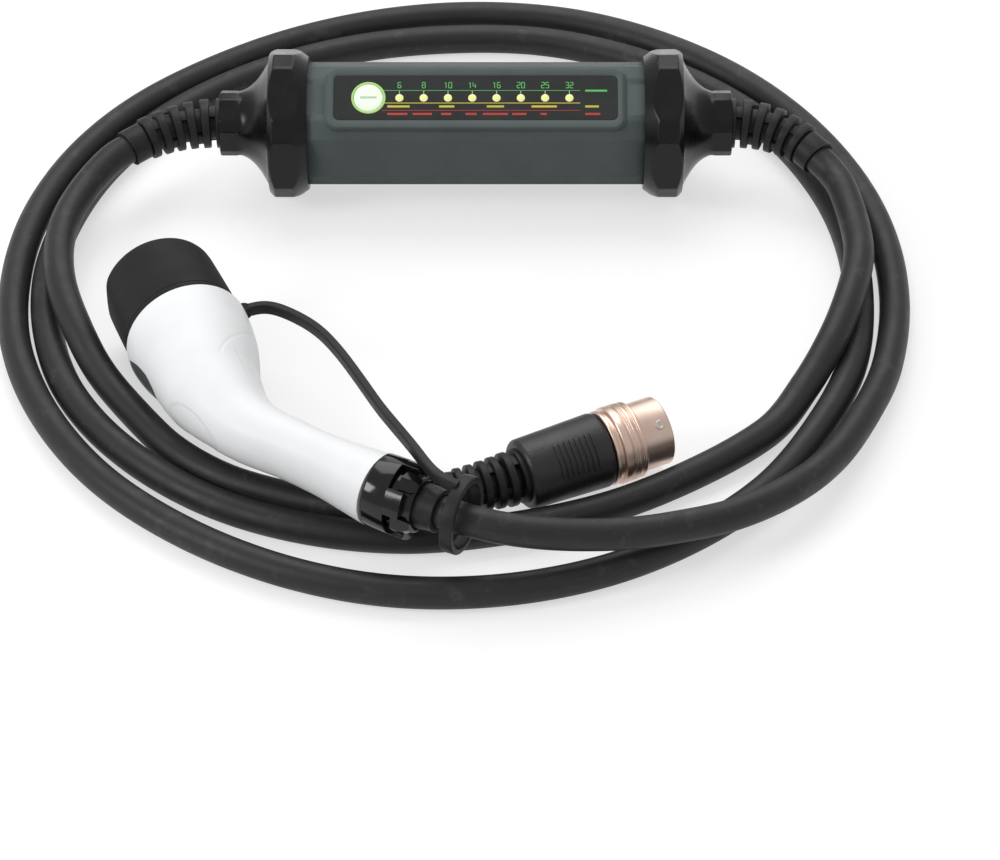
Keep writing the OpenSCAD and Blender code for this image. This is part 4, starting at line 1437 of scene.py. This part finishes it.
    def dust_cap(self) -> Piece:
        """Rubber cap: along x the softly smaller of a tapering circle and a leaning flat, rounded in front.

        Returns:
            The piece.
        """
        angle = full_turn(180)
        x, r = CAP_OUTER[:, :1], CAP_OUTER[:, 1:]
        past = x - self.cap_front
        flat = self.cap_flat - np.where(past > 0, past ** 2 / 8, past * math.tan(math.radians(self.cap_lean)))
        face = np.clip(np.cos(angle), 0.05, None)
        shape = soft_least(r, np.maximum(flat, 0.3) / face, sharp=46)
        shape = np.where(x > 51.9, np.minimum(shape, r), shape)
        lining = soft_least(CAP_LINING[:, 1:], 24.8 / face, sharp=90)
        along = np.concatenate([x[::-1], CAP_LINING[::-1, :1]])
        grid = around(along, np.concatenate([shape[::-1], lining[::-1]]), angle)
        reach, size = LUG_STEPS.T[:, :, None, None]
        middle = CAP_LUG.mean(0)
        lug = middle + (CAP_LUG - middle) * size + reach * (0, 1, 0)
        skin = Skin().add(grid, CONNECTOR, end=End.POLE).add(lug, CONNECTOR)
        return bevelled(skin.piece("cap_rubber", Body.CAP, Surfaces.CAP, ("dust_cap",), 0), 0.6)

    def gland_nut(self) -> Piece:
        """Clawed nut: a turned collar, tabs and ridged claws behind slots, all set round the axis.

        Returns:
            The piece.
        """
        r, foot = self.nut_r, 14.7
        skin = Skin().ring([(0, 12.6), (0, r - 0.7), (0.7, r), (13.2, r), (13.2, 15.4), (25.6, 15.2),
                            (26.4, 14.6), (26.4, 12.6)], GLAND, 0.35, 3)
        x, half, side_r, ridge = CLAW_STEPS.T[:, :, None]
        radius = np.concatenate([foot + 0 * x, foot + 0 * x, side_r, ridge, side_r], 1)
        for turn in np.arange(self.claws) * 360 / self.claws:
            tab, claw = 59.5 + turn, 14.5 + turn
            skin.add(arc_block((12.5, 22.4), (14.8, r), (tab - 21, tab + 21)), GLAND)
            skin.add(around(x, radius, np.radians(claw + half * (-1, 1, 1, 0, -1))), GLAND)
        return bevelled(skin.piece("gland_claws", Body.CHARGER, Surfaces.NUT, ("gland_nut",), 0), 0.45)

    def gland_bush(self) -> Piece:
        """Rubber bush: a turned sleeve that narrows to a small lip on the cord."""
        outline = [(-6, 8.6), (-6, 12.4), (26, 12.3), (35.8, 11.3), (36.2, 11.6), (BUSH_END, 11.5),
                   (BUSH_END, 8.6)]
        return Skin().ring(outline, GLAND, 0.4).piece(
            "gland_sleeve", Body.CHARGER, Surfaces.RUBBER, ("gland_bush",))

    def cap_tether(self) -> Piece:
        """Rubber tether: a rounded flat section carried along an eased line from the lug to the ring.

        Returns:
            The piece.
        """
        start = CONNECTOR.moved(5.5, -37.2, 3.0).origin
        path = eased(curve_through(np.vstack([start, TETHER_ROUTE]), 2.0), 12)
        w, h = self.tether
        section = rounded([(-w, -h), (w, -h), (w, h), (-w, h)], 1.1, 5, closed=True)
        return Skin().add(swept(path, section)).piece(
            "cap_tether", Body.CHARGER, Surfaces.RUBBER, ("cap_strap",), 40,
            (Body.CAP, path[len(path) // 2], path[4]))

    def tether_ring(self) -> Piece:
        """Loose ring of the tether: a rounded band turned about its own axis."""
        band = [(-3.5, 17.2), (3.5, 17.2), (3.5, 20.8), (-3.5, 20.8)]
        return Skin().ring(band, TETHER_RING, 1.0, 5).piece(
            "tether_ring", Body.CHARGER, Surfaces.RUBBER, ("strap_ring",))


# Supply plug

# Fixed barrel in front of the body: place on x and radius
BARREL = [(-10, 14.05), (-10, 15.0), (0, 15.0), (0.1, 20.0), (0.5, 20.3), (1.8, 20.3), (2.2, 19.9),
          (2.2, 15.6), (15.4, 15.6), (16.2, 15.0), (16.2, 14.05)]
# Outside of the coupling ring: place on x and depth below its radius
COUPLING_STEPS = [
    (0, 2.5), (0.3, 2.2), (1.8, 2.2), (2.0, 1.9), (2.2, 0.5), (2.7, 0), (6.0, 0), (6.4, 0.25), (6.6, 0.9),
    (7.2, 0.9), (7.4, 0.25), (7.8, 0), (8.3, 0.1), (8.5, 0.4), (8.8, 0.1), (9.4, 0.1), (9.7, 0.4),
    (10.0, 0.1), (10.8, 0), (11.2, 0.3), (11.4, 1.0), (12.0, 1.0), (12.3, 0.4), (12.7, 0.3), (13.2, 0.7),
    (13.6, 0.3), (14.6, 0.3), (15.1, 0.7), (15.4, 2.4), (31.3, 2.5), (32.0, 3.1)]
COUPLING_BORE = [(32.0, 17.3), (31.6, 16.9), (10, 16.9), (9.9, 15.66)]


@dataclass
class SupplyPlug:
    """Black ribbed plug body with a slotted relief behind and a plated coupling in front.

    Attributes:
        length: Length of the body.
        back_r: Radius of the body at the back.
        front_r: Radius of the body in front.
        rib_x: Place of the first rib behind the front.
        rib_pitch: Distance between ribs.
        ribs: Number of ribs in a row.
        ring_at: Place on x of the coupling ring.
        ring_r: Radius of the coupling ring.
        pins: Number of bayonet pins.
        pin_x: Their place on the coupling ring.
        bend: The relief behind the body.
    """

    length: float = 48.0
    back_r: float = 19.0
    front_r: float = 20.3
    rib_x: float = 31.3
    rib_pitch: float = 3.0
    ribs: int = 8
    ring_at: float = 50.5
    ring_r: float = 21.0
    pins: int = 3
    pin_x: float = 26.0
    bend: BendRelief = BendRelief(39.5, 14.0, 14.6, 11.9, 14.8, 3.0)

    def build(self) -> list[Piece]:
        """Makes the pieces of the plug.

        Returns:
            The pieces, with the nodes of the part that stay in view.
        """
        made = [self.grip_body(), self.relief(), self.barrel(), self.coupling(), self.rivets()]
        return made + self.dress()

    def dress(self) -> list[Piece]:
        """Gives the nodes that stay as the part has them their surfaces."""
        return [*Surfaces.INSERT.dress("contact_insert"), *Surfaces.GOLD.dress("plug_contacts"),
                *Surfaces.STEEL.dress("snap_ring")]

    def grip_body(self) -> Piece:
        """Plug body: a turned cone with rounded ends, and two rows of short ribs carried round its sides.

        Returns:
            The piece.
        """
        end, back, front = self.length, self.back_r, self.front_r
        skin = Skin().ring([(0, 9.4), (0, back - 1.6), (1.8, back), (end - 2.4, front), (end, front - 1.8),
                            (end, 15.1), (6, 15.0), (6, 9.4)], PLUG, 0.9, 5)
        section = [(-0.85, -0.8), (0.85, -0.8), (0.55, 0.95), (-0.55, 0.95)]
        across, out = rounded(section, 0.35, 4, closed=True).T
        way = np.radians(np.linspace(104, 166, 26))[:, None]
        ease = np.sqrt(np.clip(1 - np.linspace(-1, 1, 26) ** 12, 0.04, 1))[:, None]
        for x in end - self.rib_x + self.rib_pitch * np.arange(self.ribs):
            r = back + (front - back) * x / end
            for turn in (0, math.pi):
                skin.add(around(x + across * ease, r + out * np.where(out > 0, ease, 1), way + turn), PLUG)
        return skin.piece("plug_grip", Body.CHARGER, Surfaces.PLUG, ("plug_body",), 45)

    def behind(self) -> Place:
        """Frame of the relief, x out of the back of the body."""
        return PLUG.spun(z=180).spun(x=-90)

    def relief(self) -> Piece:
        """Bend relief behind the body."""
        made = self.bend.add_to(Skin(), self.behind()).piece(
            "plug_bend_relief", Body.CHARGER, Surfaces.RUBBER, ("plug_relief",), 0)
        return bevelled(made, 0.35)

    def cord_exit(self) -> tuple[Array, Array]:
        """Point and direction in which the cord leaves the plug."""
        return self.bend.exit(self.behind())

    def barrel(self) -> Piece:
        """Fixed barrel: a turned flange with a thin tube in front and a spigot in the body."""
        return Skin().ring(BARREL, PLUG.moved(self.length), 0.25).piece(
            "plug_flange", Body.CHARGER, Surfaces.ROSE, ("plug_barrel",), 50)

    def coupling(self) -> Piece:
        """Coupling ring: a turned sleeve with a groove, double ridges and a plain skirt, bored in front."""
        outline = [(0, 15.7), *((x, self.ring_r - depth) for x, depth in COUPLING_STEPS), *COUPLING_BORE]
        return Skin().ring(outline, PLUG.moved(self.ring_at), 0.18, 3, 128).piece(
            "coupling_sleeve", Body.COUPLING, Surfaces.ROSE, ("coupling_ring",), 50)

    def rivets(self) -> Piece:
        """Riveted bayonet pins: turned heads with a dimple, standing out of the skirt.

        Returns:
            The piece.
        """
        skin = Skin()
        low, top = 15.4, self.ring_r - 2.5
        head = rounded([(low, 0.05), (low, 1.6), (top - 0.3, 1.6), (top - 0.3, 2.6), (top + 0.5, 2.6),
                        (top + 0.68, 2.2), (top + 0.68, 1.5), (top + 0.45, 1.1), (top + 0.45, 0.05)], 0.15, 3)
        for turn in np.arange(self.pins) * 360 / self.pins + 38:
            place = PLUG.spun(x=turn).moved(self.ring_at + self.pin_x).spun(y=-90)
            skin.add(lathe(head, 40), place, end=End.POLE)
        return skin.piece("bayonet_rivets", Body.COUPLING, Surfaces.RIVET, ("bayonet_pins",), 50)


# Cords

# Straight leads out of a bend relief and out of the gland
LEAD = 12.0
GLAND_LEAD = 5.0
# Points that each cord passes between its leads
OUTPUT_LAY = [
    (208, -46, 30), (213, -76, 27), (213, -104, 27), (206, -136, 26), (195, -166, 21), (179, -195, 12),
    (157.5, -228.6, 8.5), (119.2, -261, 8.5), (71.2, -289.2, 8.5), (18, -306, 8.5), (-38, -313, 8.5),
    (-94, -304, 8.5), (-144, -281, 8.5), (-188, -243, 8.5), (-219, -197, 8.5), (-235, -146, 8.5),
    (-239, -92, 8.5), (-229, -36, 8.5), (-207, 16, 8.5), (-172, 62, 8.5), (-126, 98, 8.5), (-74, 121, 8.5),
    (-18, 131, 8.5), (38, 129, 8.5), (90, 111, 8.5), (136, 80, 8.5), (172, 40, 8.5), (198, -13, 8.5),
    (211, -66, 8.5), (213, -120, 8.5), (205, -176, 8.5), (183, -229, 8.5), (154, -275, 8.5), (114, -312, 8.5),
    (66, -339, 8.5), (12, -353, 8.5), (-44, -353, 8.5), (-98, -338, 8.5), (-150, -309, 8.5),
    (-196, -268, 8.5), (-230, -217, 8.5), (-251, -160, 8.5), (-257, -102, 8.5), (-251, -44, 8.5),
    (-232, 11, 8.5), (-201, 59, 8.5), (-159, 98, 8.5), (-110, 129, 8.5), (-56, 149, 8.5), (0, 156, 8.5),
    (56, 149, 8.5), (107, 127, 8.5), (152, 93, 8.5), (188, 49, 8.5), (215, -4, 8.5), (230, -60, 8.5),
    (233, -118, 8.5), (225, -174, 9.5), (210, -217, 12), (190, -257, 15), (166, -288, 20), (135, -313, 25),
    (102, -327, 28.2), (77, -334, 30.5), (50, -339, 34.5), (27, -340.8, 38.3), (7, -338.8, 41)]
SUPPLY_LAY = [
    (-221, -43, 30), (-230, -68, 27), (-232, -96, 26.5), (-228, -126, 26), (-218, -155, 21), (-204, -182, 12),
    (-184, -212, 8.7), (-160.4, -243.4, 8.5), (-132.4, -266.3, 8.5), (-101, -280.5, 8.6), (-74, -289.5, 9.8),
    (-50, -294, 13.5)]


@dataclass(frozen=True)
class Cord:
    """A round rubber cord along a route of points.

    Attributes:
        name: Name of the piece.
        node: Node of the part that it replaces.
        route: Points that it passes.
        lay: How it lies.
        far_end: What is on its far end.
        radius: Its radius.
        spacing: Distance between its circles.
        sides: Points on each circle.
    """

    name: str
    node: str
    route: Array
    lay: str
    far_end: str
    radius: float = CORD_R
    spacing: float = 4.0
    sides: int = 28

    def build(self, pieces: list[Piece]) -> Piece:
        """Makes the cord: a circle carried along the smooth line through its route, held above the floor.

        Args:
            pieces: Pieces on its far end; not used.

        Returns:
            The cord.
        """
        path = curve_through(self.route, self.spacing)
        path[:, 2] = np.maximum(path[:, 2], self.radius)
        made = Skin().add(swept(path, circle(self.radius, self.sides))).piece(
            self.name, Body.CHARGER, Surfaces.CORD, (self.node,), 60)
        return made


def route(start: tuple[Array, Array], lead: float, middle: list[Triple], end: tuple[Array, Array],
          tail: float) -> Array:
    """Joins a straight lead out of one exit, the lying points and a straight lead into the other.

    Args:
        start: First exit and the direction out of it.
        lead: Length of its straight lead.
        middle: Points between.
        end: Second exit and the direction out of it.
        tail: Length of its straight lead.

    Returns:
        All points in order.
    """
    (a, out), (b, back) = start, end
    return np.vstack([a, a + lead * out, np.array(middle, float), b + tail * back, b])


# Studio

@dataclass(frozen=True)
class Lamp:
    """A square soft lamp.

    Attributes:
        name: Name of the lamp.
        at: Where it hangs.
        aim: Point that it faces.
        size: Side of its panel in metres.
        power: Power in watts.
    """

    name: str
    at: Triple
    aim: Triple
    size: float
    power: float

    def hang(self) -> None:
        """Adds the lamp to the scene."""
        data = bpy.data.lights.new(self.name, "AREA")
        data.shape, data.size, data.energy = "SQUARE", self.size, self.power
        lamp = bpy.data.objects.new(self.name, data)
        x, y, z = np.array(self.aim) - np.array(self.at)
        lamp.location = self.at
        lamp.rotation_euler = (math.atan2(math.hypot(x, y), -z), 0, math.atan2(y, x) - math.pi / 2)
        bpy.context.scene.collection.objects.link(lamp)


@dataclass(frozen=True)
class Studio:
    """Pale floor, soft light and the camera of the photograph.

    Attributes:
        eye: Place of the camera.
        tilt: Its turn up from straight down, in degrees.
        lens: Its focal length in millimetres.
        sensor: Width of its sensor in millimetres.
        floor_half: Half side of the floor in metres.
        floor_tone: Share of light that the floor gives back.
        floor_lift: Light of its own that the floor shows to the camera and in reflections.
        sky: Strength of the surroundings.
        lamps: The lamps.
    """

    eye: Triple = (0.013739, -1.832698, 1.403571)
    tilt: float = 49.0
    lens: float = 143.1
    sensor: float = 36.0
    floor_half: float = 6.0
    floor_tone: float = 0.48
    floor_lift: float = 0.58
    sky: float = 0.57
    lamps: tuple[Lamp, ...] = (Lamp("key", (-0.1, 0.95, 1.75), (0, -0.1, 0), 1.5, 18.5),
                               Lamp("side", (-1.7, -0.9, 1.2), (-0.1, -0.15, 0), 0.7, 15.0),
                               Lamp("rim", (0.5, 2.2, 1.0), (0, -0.05, 0), 1.2, 4.0))

    def build(self) -> None:
        """Makes the camera, the floor, the lamps and the surroundings."""
        self.camera()
        self.floor()
        for lamp in self.lamps:
            lamp.hang()
        self.surroundings()

    def camera(self) -> None:
        """Sets up the camera, with colours shown as they are."""
        scene = bpy.context.scene
        data = bpy.data.cameras.new("camera")
        data.lens, data.sensor_width, data.sensor_fit = self.lens, self.sensor, "HORIZONTAL"
        camera = bpy.data.objects.new("camera", data)
        camera.location, camera.rotation_euler = self.eye, (math.radians(self.tilt), 0, 0)
        scene.collection.objects.link(camera)
        scene.camera = camera
        scene.view_settings.view_transform = "Standard"

    def floor(self) -> None:
        """Large pale floor that is lifted to white for the camera and keeps the shadows."""
        half, tone = self.floor_half, self.floor_tone
        mesh = bpy.data.meshes.new("floor")
        corners = [(-half, -half, 0), (half, -half, 0), (half, half, 0), (-half, half, 0)]
        mesh.from_pydata(corners, [], [(0, 1, 2, 3)])
        held = bpy.data.objects.new("floor", mesh)
        bpy.context.scene.collection.objects.link(held)
        bench = Bench("floor_paper")
        bench.fix({"Base Color": (tone, tone, tone), "Roughness": 0.9, "Specular IOR Level": 0.0,
                   "Emission Color": (1.0, 1.0, 1.0)})
        path = bench.add("LightPath")
        seen = bench.either(bench.either(path.outputs["Is Camera Ray"], path.outputs["Is Glossy Ray"]),
                            path.outputs["Is Transmission Ray"])
        lift = bench.spread(seen, (0, 1), (0.0, self.floor_lift))
        bench.join(lift, bench.shader.inputs["Emission Strength"])
        mesh.materials.append(bench.material)

    def surroundings(self) -> None:
        """Even pale surroundings, the same for every ray."""
        world = bpy.data.worlds.new("surroundings")
        bpy.context.scene.world = world
        world.use_nodes = True
        back = world.node_tree.nodes["Background"]
        back.inputs["Color"].default_value = (1, 1, 1, 1)
        back.inputs["Strength"].default_value = self.sky


def main() -> None:
    """Builds the studio, the box, the connector, the plug and the cords."""
    logging.basicConfig(level=logging.INFO, format="%(message)s")
    Studio().build()
    box, connector, plug = ControlBox(), VehicleConnector(), SupplyPlug()
    box.build()
    on_output, on_supply = connector.build(), plug.build()
    gland = (GLAND.moved(BUSH_END).origin, GLAND.axes[0])
    output = route(box.cord_exit(Side.RIGHT), LEAD, OUTPUT_LAY, gland, GLAND_LEAD)
    supply = route(box.cord_exit(Side.LEFT), LEAD, SUPPLY_LAY, plug.cord_exit(), LEAD)
    Cord("output_cable", "output_cord", output, "coiled", "connector").build(on_output)
    Cord("supply_cable", "supply_cord", supply, "loose", "plug").build(on_supply)


if __name__ == "__main__":
    main()
